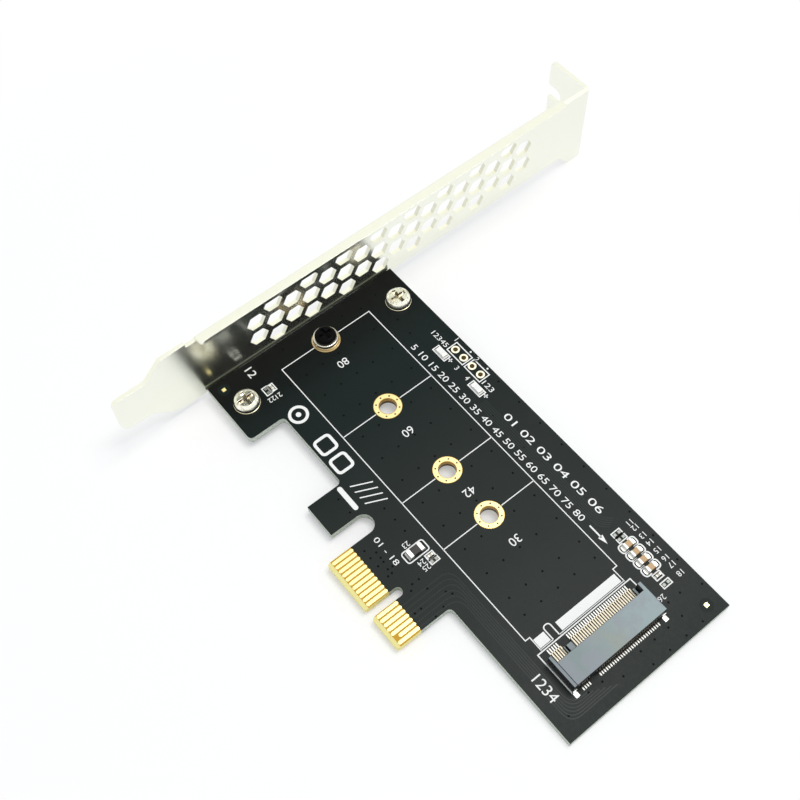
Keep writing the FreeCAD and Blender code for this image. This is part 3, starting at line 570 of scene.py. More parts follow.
def capsule(start, end, width, steps=8):
    """Give the outline of a bar with round ends."""
    start, end = Vector(start), Vector(end)
    heading = math.atan2(end.y - start.y, end.x - start.x)
    points = []
    for centre, first in ((end, heading - math.pi / 2), (start, heading + math.pi / 2)):
        for step in range(steps + 1):
            turn = first + math.pi * step / steps
            points.append((centre.x + width / 2 * math.cos(turn), centre.y + width / 2 * math.sin(turn)))
    return points


def rounded(points, cut, closed=False, steps=6):
    """Round an outline's corners, each from a cut before it to a cut after it."""
    points = [Vector(point) for point in points]
    out = []
    for index, point in enumerate(points):
        if not closed and index in (0, len(points) - 1):
            out.append(point)
            continue
        before = point + (points[index - 1] - point).normalized() * cut
        after = point + (points[(index + 1) % len(points)] - point).normalized() * cut
        for step in range(steps + 1):
            way = step / steps
            out.append(before * (1 - way) ** 2 + point * 2 * way * (1 - way) + after * way ** 2)
    return out


def stroke(work, points, width, low, high, closed=False):
    """Lay a line of even width along points, with mitred corners."""
    points = [Vector(point) for point in points]
    last = len(points) - 1
    loops = []
    for index, point in enumerate(points):
        after = points[(index + 1) % len(points)] - point if closed or index < last else None
        before = point - points[index - 1] if closed or index > 0 else None
        out = (after if after is not None else before).normalized()
        into = (before if before is not None else after).normalized()
        along = (into + out).normalized()
        side = Vector((-along.y, along.x)) * (width / 2 / max(0.5, along.dot(out)))
        left, right = point + side, point - side
        loops.append([(*right, low), (*left, low), (*left, high), (*right, high)])
    skin(work, loops, closed)


def softened(node, width, segments=2):
    """Make a copy of a node's form with its sharp edges rounded."""
    work = bmesh.new()
    work.from_mesh(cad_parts[node].data)
    bmesh.ops.remove_doubles(work, verts=work.verts, dist=TOUCH)
    bmesh.ops.dissolve_limit(work, angle_limit=math.radians(0.5), verts=work.verts, edges=work.edges)
    sharp = [edge for edge in work.edges if edge.is_manifold and edge.calc_face_angle() > math.radians(25)]
    bmesh.ops.bevel(work, geom=sharp, offset=width, segments=segments, profile=0.5, affect="EDGES",
                    clamp_overlap=True)
    work.normal_update()
    return work


def linked(name, data):
    """Add an object to the scene."""
    item = bpy.data.objects.new(name, data)
    bpy.context.scene.collection.objects.link(item)
    return item


def new_piece(name, work, material, slot=None, stands_for=(), smooth=False):
    """Close a mesh as a piece of the card."""
    bmesh.ops.recalc_face_normals(work, faces=work.faces)
    mesh = bpy.data.meshes.new(name)
    work.to_mesh(mesh)
    work.free()
    mesh.materials.append(material)
    piece = linked(name, mesh)
    if smooth:
        even_normals(piece)
    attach(piece, BODY)
    if stands_for:
        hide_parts(*stands_for)


def even_normals(piece):
    """Smooth a piece so that its flats stay flat and its rounded edges run into them."""
    piece.data.shade_smooth()
    piece.data.set_sharp_from_angle(angle=math.radians(50))
    weights = piece.modifiers.new("weights", "WEIGHTED_NORMAL")
    weights.keep_sharp = True
    depsgraph = bpy.context.evaluated_depsgraph_get()
    evened = bpy.data.meshes.new_from_object(piece.evaluated_get(depsgraph), preserve_all_data_layers=True,
                                             depsgraph=depsgraph)
    piece.modifiers.clear()
    plain = piece.data
    piece.data = evened
    bpy.data.meshes.remove(plain)


def softened_piece(name, node, width, material, slot, segments=2):
    """Put a copy of a node with rounded edges in its place."""
    new_piece(name, softened(node, width, segments), material, slot, [node], smooth=True)


def dress(nodes, material):
    """Give CAD nodes a finish."""
    for node in nodes:
        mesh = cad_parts[node].data
        mesh.materials.clear()
        mesh.materials.append(material)


# Board: vias and traces, in millimetres

CLEARINGS = [(-54.5, 6.47), (36.38, 47.04)]
VIA_COLUMNS = [-46.9 + 6.03 * step for step in range(11)] + [17.45]
VIA_ROWS = (21.15, 25.1, 29.1, 33.1, 38.1)
VIA_EDGE = [(-21.5 + 6.07 * step, 49.3) for step in range(10)]
VIA_FAR = [(35.05, 32.2 + 3.36 * step) for step in range(4)]
VIA_FAR += [(38.05, 32.25 + 4.03 * step) for step in range(4)]
VIA_FINGERS = [(-9.95, 6.8), (-8.15, 6.8), (-8.35, 8.3), (-7.05, 8.3), (-6.05, 6.9), (-6.1, 8.2), (-4.5, 7.9),
               (-4.4, 8.9), (-3.45, 8.0), (-3.4, 7.1), (0.5, 11.0), (0.5, 9.5), (1.35, 8.55), (2.85, 11.05),
               (5.4, 13.2), (6.4, 13.9), (5.05, 7.8), (5.05, 6.4), (7.8, 8.9), (7.3, 11.1)]
VIA_SINGLES = [(-21.2, 9.45), (-17.7, 9.5), (-14.3, 14.9), (-11.3, 15.0), (-8.4, 15.0), (-53.4, 43.6),
               (-52.6, 39.2), (-53.6, 35.1), (-45.65, 43.3), (-41.5, 43.15), (-54.8, 21.0), (-46.9, 17.2),
               (-16.4, 43.3), (-7.4, 43.25), (31.8, 45.1), (31.8, 42.2), (36.3, 26.8), (34.7, 23.4),
               (34.6, 20.3), (35.35, 15.0)]

# Trace lanes in each bundle, how far before the last contact the first starts, and their step at a bend
SOCKET_LANES = 6
UPPER_LANES = 5
LANES_BACK = 5.3
LANE_MITRE = 0.41


def via_places():
    """Give the vias' places, clear of the drive screw holes."""
    grid = [(x, y) for x in VIA_COLUMNS for y in VIA_ROWS]
    places = [Vector(mm(*place)) for place in grid + VIA_EDGE + VIA_FAR + VIA_FINGERS + VIA_SINGLES]
    clear = RING_RADIUS + 0.6 * MM
    holes = [hole.to_2d() for hole in DRIVE_HOLES.values()]
    return [place for place in places if min((place - hole).length for hole in holes) > clear]


def trace_paths(sizes):
    """Give the traces: a bundle from the edge contacts round the socket, and one along the upper edge."""
    pitch = sizes.trace_pitch
    below, beside, bend = mm(1.6, 1.4, 2.6)
    paths = []
    for lane in range(SOCKET_LANES):
        start = FINGERS_HIGH.x + (lane - LANES_BACK) * FINGER_PITCH
        level = SOCKET_LOW.y - below - lane * pitch
        turn = SOCKET_HIGH.x + beside + lane * pitch
        end = SOCKET_LOW.y + (2.0 + lane) * MM
        points = [(start, FINGERS_HIGH.y), (start, level), (turn, level), (turn, end)]
        paths.append(rounded(points, bend))
    near, far, lowest, slant, bend = mm(-20.0, 13.2, 42.75, 1.6, 0.8)
    for lane in range(UPPER_LANES):
        level = lowest + lane * pitch
        turn = far - LANE_MITRE * lane * pitch
        points = [(near, level), (turn, level), (turn + slant, level + slant)]
        paths.append(rounded(points, bend))
    return paths


class CARD_OT_board(bpy.types.Operator):
    """Finish the circuit board and lay its vias, clearings and traces."""

    bl_idname = "card.board"
    bl_label = "Board"

    def execute(self, context):
        sizes, colours = context.scene.card_sizes, context.scene.card_colours
        dress(["circuit_board"], solder_mask("solder_mask", colours))
        rise = sizes.trace_height
        vias = bmesh.new()
        for place in via_places():
            outline = circle(place.x, place.y, sizes.via_radius, 12)
            for low, high in layers(BOARD_UNDER, BOARD_TOP, 0.6 * rise, SINK):
                plate(vias, outline, low, high)
        new_piece("board_vias", vias, via_fill(colours), "solder_mask")
        clearings = bmesh.new()
        for place in CLEARINGS:
            outline = circle(*mm(*place), sizes.clearing_radius, 36)
            plate(clearings, outline, BOARD_TOP - SINK, BOARD_TOP + 0.3 * rise)
        new_piece("mark_clearings", clearings, bare_board(colours), "solder_mask")
        traces = bmesh.new()
        for path in trace_paths(sizes):
            for low, high in layers(BOARD_UNDER, BOARD_TOP, rise, SINK):
                stroke(traces, path, sizes.trace_width, low, high)
        new_piece("board_traces", traces, covered_copper(colours), "solder_mask")
        return {"FINISHED"}


class CARD_OT_plating(bpy.types.Operator):
    """Finish the plated holes and marks, and round the ends of the edge contacts."""

    bl_idname = "card.plating"
    bl_label = "Plating"

    def execute(self, context):
        sizes, colours = context.scene.card_sizes, context.scene.card_colours
        gold = gold_plating("gold_plating", colours, colours.gold)
        dress([f"m2_hole_plating_{drive}" for drive in OPEN_LENGTHS], gold)
        dress(["m2_hole_plating_80"], gold_plating("standoff_gold", colours, colours.standoff_gold))
        dress(["fiducial_marks"], gold)
        dress(["header_hole_plating"], gold_plating("header_gold", colours, colours.header_gold))
        dress(["bare_pads"], bright_metal("pad_tin", colours.pad, 0.42, 0.2 * MM, 0.006 * MM))
        self.ring_dots(sizes, colours)
        self.ring_edges(sizes, colours)
        self.edge_contacts("component", FINGER_PLACES - 2, gold)
        self.edge_contacts("solder", 0, gold)
        return {"FINISHED"}

    def ring_dots(self, sizes, colours):
        """Set eight dark discs round each plated ring, on both faces, as the painted shade of its small
        holes.
        """
        radius = (RING_RADIUS + FREE_RADIUS) / 2
        faces = layers(RING_LOW.z, RING_HIGH.z, DOT_RISE, RING_SINK)
        work = bmesh.new()
        for hole in DRIVE_HOLES.values():
            for place in circle(hole.x, hole.y, radius, 8):
                for low, high in faces:
                    plate(work, circle(*place, sizes.ring_dot, 10), low, high)
        new_piece("ring_dots", work, ring_hole(colours), "gold_plating")

    def ring_edges(self, sizes, colours):
        """Run a darker line along the edges of the open rings, on both faces, and a wider dark band round the
        standoff as painted shade.
        """
        width = sizes.ring_edge
        faces = layers(RING_LOW.z, RING_HIGH.z, EDGE_RISE, RING_SINK)
        work = bmesh.new()
        for drive in OPEN_LENGTHS:
            hole = DRIVE_HOLES[drive]
            for radius in (RING_RADIUS - width / 2, FREE_RADIUS + width / 2):
                for low, high in faces:
                    stroke(work, circle(hole.x, hole.y, radius, 64), width, low, high, closed=True)
        low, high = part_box("m2_standoff")
        # Painted shade: a dark band round the standoff's foot.
        gap = 4 * width
        path = circle(*STANDOFF_HOLE.to_2d(), (high.x - low.x + gap) / 2, 64)
        stroke(work, path, gap, *faces[0], closed=True)
        brown = bright_metal("gold_edge", colours.gold_edge, 0.4, 0.2 * MM, 0.004 * MM)
        new_piece("ring_edges", work, brown, "gold_plating")

    def edge_contacts(self, side, short_place, gold):
        """Lay one face's contacts again, with round ends."""
        node = f"edge_contacts_{side}_side"
        low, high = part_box(node)
        half = FINGER_WIDTH / 2
        first = (low.x + high.x - (FINGER_PLACES - 1) * FINGER_PITCH) / 2
        work = bmesh.new()
        for place in range(FINGER_PLACES):
            if place in FINGER_KEY:
                continue
            x = first + place * FINGER_PITCH
            start = low.y + (FINGER_SHORTER if place == short_place else 0) + half
            plate(work, capsule((x, start), (x, high.y - half), FINGER_WIDTH), low.z, high.z)
        new_piece(f"rounded_{node}", work, gold, "gold_plating", [node])


# Print, in millimetres

DRIVE_HALF = 11.0
OUTLINE_STEP = (21.1, 24.1)
NUMBER_PLACES = {80: (-44.5, 28.4), 60: (-24.1, 28.5), 42: (-6.9, 29.3), 30: (5.8, 29.3)}
QUARTER = math.pi / 2
EMPTY_PLACES = [(16.05, 43.5, 17.16, 45.47), (17.16, 43.5, 18.28, 45.47), (28.46, 43.5, 29.58, 45.5),
                (-1.05, 14.6, -0.1, 16.45), (-49.9, 12.3, -47.9, 13.45)]

# Figures: each line's text, place, height and span, and each row's first number, turn and places
SCALE = " ".join(str(number) for number in range(5, 85, 5))
LINES = [(SCALE, (-14.0, 41.7), 1.38, 49.5), ("01 02 03 04 05 06", (-1.6, 45.4), 1.55, 26.8),
         ("01 - 18", (-7.4, 9.9), 1.15, 6.6), ("1234", (29.5, 15.1), 2.0, 5.2),
         ("12", (-54.4, 12.9), 1.7, 2.3), ("12345", (-36.5, 46.9), 1.1, 4.5),
         ("123", (-21.9, 47.0), 1.15, 2.8)]
ROWS = [(1, 0.0, [(-34.3, 49.4), (-28.1, 49.45), (-29.1, 45.05), (-26.0, 45.1)]),
        (11, -QUARTER, [(x, 47.8) for x in (16.5, 17.8, 19.8, 21.6, 23.5, 25.5, 27.1, 29.2)]),
        (21, -QUARTER, [(-46.6, 14.1), (-46.7, 12.5), (-6.1, 13.4), (-1.6, 13.4), (-0.3, 13.5),
                        (30.5, 41.9)])]
ROW_HEIGHT = 1.1


class CARD_OT_print(bpy.types.Operator):
    """Print the white lines, blocks and plain figures."""

    bl_idname = "card.print"
    bl_label = "Print"

    def execute(self, context):
        sizes = context.scene.card_sizes
        self.line_width = sizes.print_line
        self.bold_width = sizes.print_bold
        self.low = BOARD_TOP - SINK
        self.high = BOARD_TOP + sizes.print_height
        self.work = bmesh.new()
        self.drive_outline()
        self.socket_outline()
        self.header_marks()
        self.chip_outlines()
        self.plain_shapes()
        self.figure_lines()
        new_piece("white_print", self.work, white_print(context.scene.card_colours))
        return {"FINISHED"}

    def line(self, points, width=None, closed=False):
        """Print a line through points given in millimetres."""
        points = [mm(*point) for point in points]
        stroke(self.work, points, width or self.line_width, self.low, self.high, closed)

    def block(self, outline):
        plate(self.work, [mm(*point) for point in outline], self.low, self.high)

    def box(self, low_x, low_y, high_x, high_y):
        self.line(box_outline(low_x, low_y, high_x, high_y), closed=True)

    def text(self, text, place, height, turn=0.0, span=None):
        """Print plain figures: their middle at a place, with a cap height, a turn and a span."""
        curve = bpy.data.curves.new("figures", "FONT")
        curve.body = text
        curve.resolution_u = 3
        curve.extrude = 0.5
        holder = bpy.data.objects.new("figures", curve)
        mesh = bpy.data.meshes.new_from_object(holder)
        xs, ys = zip(*(vertex.co.to_2d() for vertex in mesh.vertices))
        size = height * MM / (max(ys) - min(ys))
        stretch = span * MM / (max(xs) - min(xs)) if span else size
        centre = Vector(((max(xs) + min(xs)) / 2, (max(ys) + min(ys)) / 2, 0))
        fit = Matrix.Diagonal((stretch, size, self.high - self.low, 1)) @ Matrix.Translation(-centre)
        lift = Matrix.Translation((*mm(*place), (self.low + self.high) / 2))
        mesh.transform(lift @ Matrix.Rotation(turn, 4, "Z") @ fit)
        self.work.from_mesh(mesh)
        bpy.data.objects.remove(holder)
        bpy.data.curves.remove(curve)
        bpy.data.meshes.remove(mesh)

    def drive_outline(self):
        """Print the drive's outline, its cross lines at the screw holes and the length at each."""
        near, middle_y = STANDOFF_HOLE.to_2d() / MM
        gap = RING_RADIUS / MM + 0.1
        step, end = OUTLINE_STEP
        thin = self.line_width * 0.8
        for side in (1, -1):
            edge = middle_y + side * DRIVE_HALF
            inner = middle_y + side * (DRIVE_HALF - 1)
            outline = [(near, middle_y + side * gap), (near, edge), (step, edge), (step, inner), (end, inner)]
            self.line(outline, thin)
            for drive in OPEN_LENGTHS:
                x = DRIVE_HOLES[drive].x / MM
                self.line([(x, middle_y + side * gap), (x, edge)], thin)
        for drive, place in NUMBER_PLACES.items():
            self.text(str(drive), place, 1.75, -QUARTER)

    def socket_outline(self):
        """Print the socket's outline, the drive's front edge with its key and the two blocks before it."""
        front = 24.35
        self.line([(26.05, 40.2), (front, 40.15), (front, 18.0), (33.1, 18.05)])
        thin = self.line_width * 0.6
        edge = 23.95
        self.line([(edge, 39.05), (edge, 23.44)], thin)
        self.line([(edge, 22.0), (edge, 19.05)], thin)
        self.line(rounded([(edge, 23.44), (21.1, 23.44), (21.1, 22.0), (edge, 22.0)], 0.71))
        self.block(box_outline(21.87, 24.35, 23.75, 38.6))
        self.block(box_outline(21.8, 19.23, 23.75, 21.62))

    def header_marks(self):
        """Print the boxes of the two headers and the lamps, with a plus at each lamp."""
        self.box(-33.7, 46.35, -28.95, 48.95)
        self.box(-28.4, 46.35, -23.8, 48.95)
        for x in (-30.2, -25.1):
            self.block(circle(x, 49.6, 0.22, 8))
        for lamp in LAMPS:
            x, y = middle(f"{lamp}_body").to_2d() / MM
            self.box(x - 1.8, y - 0.78, x + 1.75, y + 0.78)
            self.block(box_outline(x - 1.5, y - 0.7, x + 1.45, y + 0.7))
            plus_x, plus_y, reach = x + 2.4, y + 0.3, 0.48
            self.line([(plus_x - reach, plus_y), (plus_x + reach, plus_y)])
            self.line([(plus_x, plus_y - reach), (plus_x, plus_y + reach)])

    def chip_outlines(self):
        """Print the outlines round chips and empty places."""
        for name in LARGE_CAPACITORS:
            x, y = middle(f"{name}_body").to_2d() / MM
            for side in (1, -1):
                corners = arch(x, 0.9, y + side * 0.55, y + side * 1.92)
                self.line(rounded(corners, 0.75), self.line_width * 1.15)
        for name in SMALL_CAPACITORS:
            self.line(self.outline_round(f"{name}_terminals", 0.35, 0.35), closed=True)
        outline = self.outline_round("fuse_terminals", 0.42, 0.85)
        self.line(rounded(outline, 0.6, closed=True), closed=True)
        for place in EMPTY_PLACES:
            self.box(*place)

    def outline_round(self, node, aside, along):
        """Give a node's outline in millimetres, set out by a gap on each side."""
        low, high = (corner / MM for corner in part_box(node))
        return box_outline(low.x - aside, low.y - along, high.x + aside, high.y + along)

    def plain_shapes(self):
        """Print the bar over the hook, the arrow, and a ring, two squares and four strokes."""
        self.block(capsule((-22.7, 10.9), (-17.8, 10.9), 1.0))
        self.line([(12.3, 41.75), (15.4, 41.75)], self.line_width * 1.3)
        self.block([(15.1, 41.2), (17.0, 41.75), (15.1, 42.3)])
        self.line(circle(-40.6, 14.5, 1.75, 32), self.bold_width, closed=True)
        self.block(circle(-40.6, 14.5, 0.55, 20))
        for low_x, high_x in ((-33.6, -30.2), (-28.6, -25.2)):
            square = box_outline(low_x, 12.85, high_x, 16.25)
            self.line(rounded(square, 0.8, closed=True), self.bold_width, closed=True)
        for step in range(4):
            x = -21.9 + 1.5 * step
            self.line([(x, 12.7), (x + 1.9, 16.7)])

    def figure_lines(self):
        """Print lines of plain figures where a card has its lettering."""
        for text, place, height, span in LINES:
            self.text(text, place, height, span=span)
        for first, turn, places in ROWS:
            for index, place in enumerate(places):
                self.text(str(first + index), place, ROW_HEIGHT, turn)


class CARD_OT_bracket(bpy.types.Operator):
    """Round the bracket's edges and finish its plated steel."""

    bl_idname = "card.bracket"
    bl_label = "Bracket"

    def execute(self, context):
        sizes, colours = context.scene.card_sizes, context.scene.card_colours
        steel = bracket_steel("bracket_steel", colours)
        softened_piece("folded_bracket", "slot_bracket", sizes.bracket_edge, steel, "bracket_steel")
        return {"FINISHED"}


# Screws, standoff and nut

def wind_thread(work, screw, depth, pitch):
    """Wind a ridge round a bracket screw's shank, from near its tip up to the bracket's ear."""
    steps = 28
    centre = middle(screw)
    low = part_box(screw)[0].z + 0.3 * MM
    high = BOARD_UNDER - SHEET - 0.2 * MM
    root = SHANK_RADIUS - depth
    profile = [(root, -0.42), (SHANK_RADIUS, -0.06), (SHANK_RADIUS, 0.06), (root, 0.42)]
    loops = []
    for step in range(int((high - low) / pitch * steps) + 1):
        turn = 2 * math.pi * step / steps
        height = low + pitch * step / steps
        across, along = math.cos(turn), math.sin(turn)
        loops.append([(centre.x + reach * across, centre.y + reach * along, height + rise * pitch)
                      for reach, rise in profile])
    skin(work, loops)


class CARD_OT_fasteners(bpy.types.Operator):
    """Finish the screws, the standoff and its nut."""

    bl_idname = "card.fasteners"
    bl_label = "Fasteners"

    def execute(self, context):
        sizes, colours = context.scene.card_sizes, context.scene.card_colours
        turned = bright_metal("turned_nickel", colours.standoff, 0.16, 0.35 * MM, 0.006 * MM)
        for screw in BRACKET_SCREWS:
            work = softened(screw, sizes.screw_edge)
            wind_thread(work, screw, sizes.thread_depth, sizes.thread_pitch)
            nickel = screw_nickel(f"nickel_{screw}", colours, screw)
            new_piece(f"worn_and_shaded_{screw}", work, nickel, "nickel", [screw], smooth=True)
        self.screw_rings(sizes, bright_metal("ring_nickel", colours.ring, 0.2, 0.35 * MM, 0.006 * MM))
        for node, edge in (("m2_standoff", sizes.standoff_edge), ("m2_standoff_nut", sizes.screw_edge)):
            softened_piece(f"turned_{node}", node, edge, turned, "nickel", segments=4)
        softened_piece("oiled_m2_screw", "m2_screw", sizes.screw_edge, black_oxide(colours), "black_oxide")
        return {"FINISHED"}

    def screw_rings(self, sizes, finish):
        """Lay the bright rings that show round the bracket screws and the standoff."""
        width, rise = mm(0.12, 0.03)
        rings = [(middle(screw), sizes.screw_ring, BOARD_TOP) for screw in BRACKET_SCREWS]
        rings.append((STANDOFF_HOLE, RING_RADIUS, RING_HIGH.z))
        work = bmesh.new()
        for place, radius, top in rings:
            path = circle(place.x, place.y, radius - width / 2, 48)
            stroke(work, path, width, BOARD_TOP - SINK, top + rise, closed=True)
        new_piece("screw_rings", work, finish, "nickel")


# Drive socket, shelves in millimetres

SHELVES = [(38.48, 38.85), (21.97, 22.15)]
ANCHOR_EDGE = 0.04 * MM


def spring_rows():
    """Give the places of the front contacts and of the rear contacts across the socket."""
    rows = []
    for node, places in ((FRONT_CONTACTS, FRONT_PLACES), (REAR_CONTACTS, BACK_PLACES)):
        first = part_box(node)[1].y - SPRING_WIDTH / 2
        rows.append([first - place * SPRING_PITCH for place in range(places) if place not in SPRING_KEY])
    return rows


class CARD_OT_socket(bpy.types.Operator):
    """Finish the drive socket: housing with its comb, contacts, solder and anchors."""

    bl_idname = "card.socket"
    bl_label = "Socket"

    def execute(self, context):
        sizes, colours = context.scene.card_sizes, context.scene.card_colours
        front, back = spring_rows()
        self.housing(sizes, colours, front)
        dress([FRONT_CONTACTS, REAR_CONTACTS], contact_alloy("contact_alloy", colours))
        tin = bright_metal("socket_tin", colours.tin, 0.26, 0.15 * MM, 0.008 * MM)
        softened_piece("bent_socket_anchors", "m2_socket_anchors", ANCHOR_EDGE, tin, "tin")
        solder = bmesh.new()
        for y in front:
            self.solder_toe(solder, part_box(FRONT_CONTACTS)[0].x, -1, y)
        for y in back:
            self.solder_toe(solder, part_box(REAR_CONTACTS)[1].x, 1, y)
        new_piece("socket_solder", solder, tin, "tin")
        return {"FINISHED"}

    def housing(self, sizes, colours, front):
        """Round the housing's edges and raise the comb between the front contacts."""
        work = softened("m2_socket_housing", sizes.socket_edge)
        groove_start, groove_width = SOCKET_LOW.y + 0.62 * MM, 0.12 * MM
        self.groove(work, groove_start, groove_width, sizes.socket_groove)
        foot, rib_top, shelf_top = (BOARD_TOP + height for height in mm(0.7, 0.85, 1.5))
        shelf_start, rib_start, shelf_end, rib_end = (SOCKET_LOW.x + way for way in mm(-0.1, 0.08, 1.6, 4.2))
        for low_y, high_y in SHELVES:
            plate(work, box_outline(shelf_start, low_y * MM, shelf_end, high_y * MM), foot, shelf_top)
        rib = (SPRING_PITCH - SPRING_WIDTH) / 2 - 0.02 * MM
        for y in front:
            between = y - SPRING_PITCH / 2
            plate(work, box_outline(rib_start, between - rib, rib_end, between + rib), foot, rib_top)
        plastic = socket_plastic("socket_plastic", colours)
        new_piece("moulded_socket_housing", work, plastic, "socket_plastic", ["m2_socket_housing"],
                  smooth=True)

    def groove(self, work, start, width, depth):
        """Sink a groove across the roof."""
        for y in (start, start + width):
            bmesh.ops.bisect_plane(work, geom=work.verts[:] + work.edges[:] + work.faces[:], dist=TOUCH,
                                   plane_co=(0, y, 0), plane_no=(0, 1, 0))
        roof = SOCKET_HIGH.z - 0.05 * MM
        strip = []
        for face in work.faces:
            place = face.calc_center_median()
            if face.normal.z > 0.99 and start < place.y < start + width and place.z > roof:
                strip.append(face)
        sunk = bmesh.ops.extrude_face_region(work, geom=strip)["geom"]
        bmesh.ops.delete(work, geom=strip, context="FACES_ONLY")
        points = [item for item in sunk if isinstance(item, bmesh.types.BMVert)]
        bmesh.ops.translate(work, verts=points, vec=(0, 0, -depth))

    def solder_toe(self, work, toe, outward, y):
        """Run a small solder wedge from a contact's tail to the board."""
        half = SPRING_WIDTH / 2 - 0.03 * MM
        run, rise, step = mm(0.09, 0.12, 0.05)
        heel = toe - outward * 0.5 * MM
        profile = [(toe + outward * run, BOARD_TOP), (heel, BOARD_TOP), (heel, BOARD_TOP + step),
                   (toe, BOARD_TOP + rise)]
        skin(work, [[(x, y - half, z) for x, z in profile], [(x, y + half, z) for x, z in profile]])


# Chips, and the share of a chip's end that solder climbs

SOLDER_CLIMB = 0.85


def solder_wedge(work, edge, outward, height):
    """Run a solder fillet along an edge, sloping outward down to the board."""
    slope = [(0.0, height), (0.35, height * 0.4), (1.0, 0.0), (0.0, 0.0)]
    aside, along = outward
    loops = [[(x + aside * way, y + along * way, BOARD_TOP + rise) for way, rise in slope] for x, y in edge]
    skin(work, loops)


class CARD_OT_chips(bpy.types.Operator):
    """Finish capacitors, lamps and fuse, with rounded edges and solder at their ends."""

    bl_idname = "card.chips"
    bl_label = "Chips"

    def execute(self, context):
        sizes, colours = context.scene.card_sizes, context.scene.card_colours
        tin = bright_metal("chip_tin", colours.tin, 0.4, 0.15 * MM, 0.008 * MM)
        kinds = [(LARGE_CAPACITORS, chip_body("tan_ceramic", colours.ceramic, 0.35), "tan_ceramic"),
                 (SMALL_CAPACITORS, chip_body("pale_ceramic", colours.pale_ceramic, 0.35), "tan_ceramic"),
                 (LAMPS, chip_body("lamp_resin", colours.lamp, 0.25), "lamp_white"),
                 (["fuse"], chip_body("fuse_resin", colours.fuse, 0.35), "fuse_body")]
        for names, material, slot in kinds:
            for name in names:
                softened_piece(f"rounded_{name}_body", f"{name}_body", sizes.chip_edge, material, slot)
                node = f"{name}_terminals"
                ends = softened(node, sizes.chip_edge)
                self.solder(ends, node, sizes.solder_run)
                new_piece(f"soldered_{name}_ends", ends, tin, "tin", [node], smooth=True)
        self.round_pads(tin)
        return {"FINISHED"}

    def round_pads(self, tin):
        """Lay the round-ended tinned pads that show past the large capacitors."""
        work = bmesh.new()
        for name in LARGE_CAPACITORS:
            low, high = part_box(f"{name}_terminals")
            reach = (high.x - low.x) / 2
            x = (low.x + high.x) / 2
            for edge, side in ((high.y, 1), (low.y, -1)):
                corners = arch(x, reach, edge - side * 0.3 * MM, edge + side * 0.52 * MM)
                plate(work, rounded(corners, 0.5 * MM), BOARD_TOP - SINK, BOARD_TOP + 0.05 * MM)
        new_piece("capacitor_pads", work, tin, "tin")

    def solder(self, work, node, run):
        """Slope solder from both ends of a chip down to the board."""
        low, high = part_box(node)
        height = SOLDER_CLIMB * (high.z - low.z)
        for side, way in ((low, -run), (high, run)):
            if high.y - low.y > high.x - low.x:
                solder_wedge(work, [(low.x, side.y), (high.x, side.y)], (0, way), height)
            else:
                solder_wedge(work, [(side.x, low.y), (side.x, high.y)], (way, 0), height)


# Stage: the board's free corner along its end, the gap under the card, and the camera's nearest reach

FREE_CORNER = 12.0 * MM
FLOOR_GAP = 0.02 * MM
NEAREST = 0.01


def aim(item, direction):
    """Turn an object's Z axis along a direction."""
    item.rotation_mode = "QUATERNION"
    item.rotation_quaternion = direction.to_track_quat("Z", "Y")


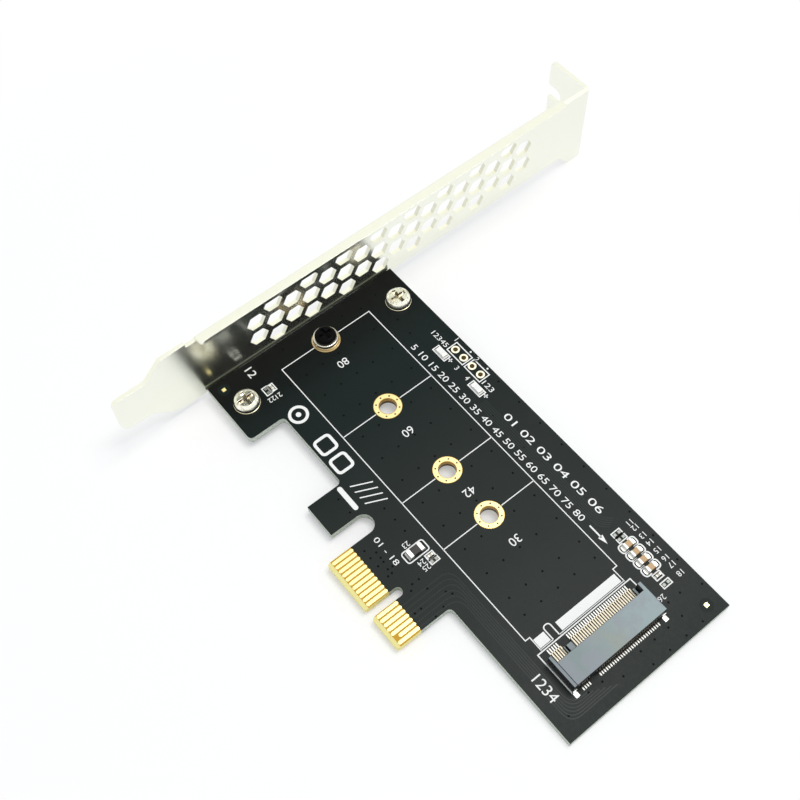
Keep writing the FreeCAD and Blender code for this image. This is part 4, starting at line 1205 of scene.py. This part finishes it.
class CARD_OT_stage(bpy.types.Operator):
    """Set the floor, the light and the camera."""

    bl_idname = "card.stage"
    bl_label = "Stage"

    def execute(self, context):
        settings = context.scene.card_stage
        context.scene.view_settings.view_transform = "Standard"
        self.floor(settings)
        self.studio(context, settings)
        self.key_lamp(settings)
        self.camera(context, settings)
        return {"FINISHED"}

    def ray(self, finish, kind):
        """Give 1 to one kind of ray."""
        return finish.node("ShaderNodeLightPath", output=f"Is {kind} Ray")

    def seen(self, finish):
        """Give 1 to rays that show the stage: from the camera, off gloss and through glass."""
        camera, gloss, glass = (self.ray(finish, kind) for kind in ("Camera", "Glossy", "Transmission"))
        return camera.either(gloss).either(glass)

    def floor(self, settings):
        """Lay the floor through the three points that the card rests on."""
        bracket_low, bracket_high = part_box("slot_bracket")
        screw = middle("bracket_screw_lower")
        supports = [Vector((BOARD_LOW.x, bracket_high.y, bracket_low.z)),
                    Vector((screw.x, screw.y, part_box("bracket_screw_lower")[0].z)),
                    Vector((BOARD_HIGH.x, FREE_CORNER, BOARD_UNDER))]
        normal = (supports[1] - supports[0]).cross(supports[2] - supports[0]).normalized()
        half = settings.floor_size / 2
        work = bmesh.new()
        work.faces.new([work.verts.new((x, y, 0)) for x, y in box_outline(-half, -half, half, half)])
        mesh = bpy.data.meshes.new("floor")
        work.to_mesh(mesh)
        work.free()
        floor = linked("floor", mesh)
        aim(floor, normal)
        lowest = min((vertex.co - supports[1]).dot(normal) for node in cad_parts.values()
                     for vertex in node.data.vertices)
        floor.location = supports[1] + normal * (lowest - FLOOR_GAP)
        mesh.materials.append(new_material("floor", lambda finish: self.floor_shader(finish, settings)))

    def floor_shader(self, finish, settings):
        """Show a lit floor that pales to plain white away from the card."""
        lit = finish.node("ShaderNodeBsdfDiffuse", inputs={"Color": settings.floor_tint})
        plain = finish.node("ShaderNodeEmission", inputs={"Color": (1, 1, 1), "Strength": 1.0})
        x, y, _ = finish.spot()
        away = finish.fade(x * x + y * y, settings.floor_near ** 2, settings.floor_far ** 2)
        white = settings.floor_white + (1 - settings.floor_white) * away
        return finish.node("ShaderNodeMixShader", inputs={0: self.seen(finish) * white, 1: lit, 2: plain})

    def studio(self, context, settings):
        """Light the card from all round, with a white surround."""
        world = bpy.data.worlds.new("studio")
        context.scene.world = world
        world.use_nodes = True
        finish = Finish(world.node_tree)
        strength = settings.ambient + (1 - settings.ambient) * self.seen(finish)
        tint = finish.blend(self.ray(finish, "Camera"), settings.cool_white, (1, 1, 1))
        tint = finish.blend(self.ray(finish, "Glossy"), tint, settings.warm_white)
        sky = finish.node("ShaderNodeBackground", inputs={"Color": tint, "Strength": strength})
        finish.node("ShaderNodeOutputWorld", inputs={"Surface": sky})

    def key_lamp(self, settings):
        """Hang a soft lamp over the card."""
        light = bpy.data.lights.new("key", "AREA")
        light.energy = settings.key_power
        light.size = settings.key_size
        light.color = settings.key_tint
        lamp = linked("key", light)
        centre = (BOARD_LOW + BOARD_HIGH) / 2
        toward = Vector(settings.key_side).normalized()
        lamp.location = centre + toward
        aim(lamp, toward)

    def camera(self, context, settings):
        """Stand the camera where the card is seen from above its free end."""
        data = bpy.data.cameras.new("camera")
        data.lens = settings.lens
        data.clip_start = NEAREST
        camera = linked("camera", data)
        camera.location = settings.camera_place
        camera.rotation_euler = settings.camera_turn
        context.scene.camera = camera


class CARD_PT_sidebar(bpy.types.Panel):
    """Lists the card's settings and operators."""

    bl_idname = "CARD_PT_sidebar"
    bl_label = "Drive adapter card"
    bl_space_type = "VIEW_3D"
    bl_region_type = "UI"
    bl_category = "Card"

    def draw(self, context):
        for operator in OPERATORS:
            self.layout.operator(operator.bl_idname)
        for group in GROUPS:
            settings = getattr(context.scene, group)
            for name in settings.bl_rna.properties.keys():
                if name not in ("rna_type", "name"):
                    self.layout.prop(settings, name)


GROUPS = {"card_sizes": CardSizes, "card_colours": CardColours, "card_stage": StageSettings}
OPERATORS = (CARD_OT_board, CARD_OT_plating, CARD_OT_print, CARD_OT_bracket, CARD_OT_fasteners,
             CARD_OT_socket, CARD_OT_chips, CARD_OT_stage)
CLASSES = (*GROUPS.values(), *OPERATORS, CARD_PT_sidebar)


def register():
    for item in CLASSES:
        bpy.utils.register_class(item)
    for name, group in GROUPS.items():
        setattr(bpy.types.Scene, name, PointerProperty(type=group))


def unregister():
    for name in GROUPS:
        delattr(bpy.types.Scene, name)
    for item in reversed(CLASSES):
        bpy.utils.unregister_class(item)


def main():
    register()
    bpy.ops.card.board()
    bpy.ops.card.plating()
    bpy.ops.card.print()
    bpy.ops.card.bracket()
    bpy.ops.card.fasteners()
    bpy.ops.card.socket()
    bpy.ops.card.chips()
    bpy.ops.card.stage()


if __name__ == "__main__":
    main()
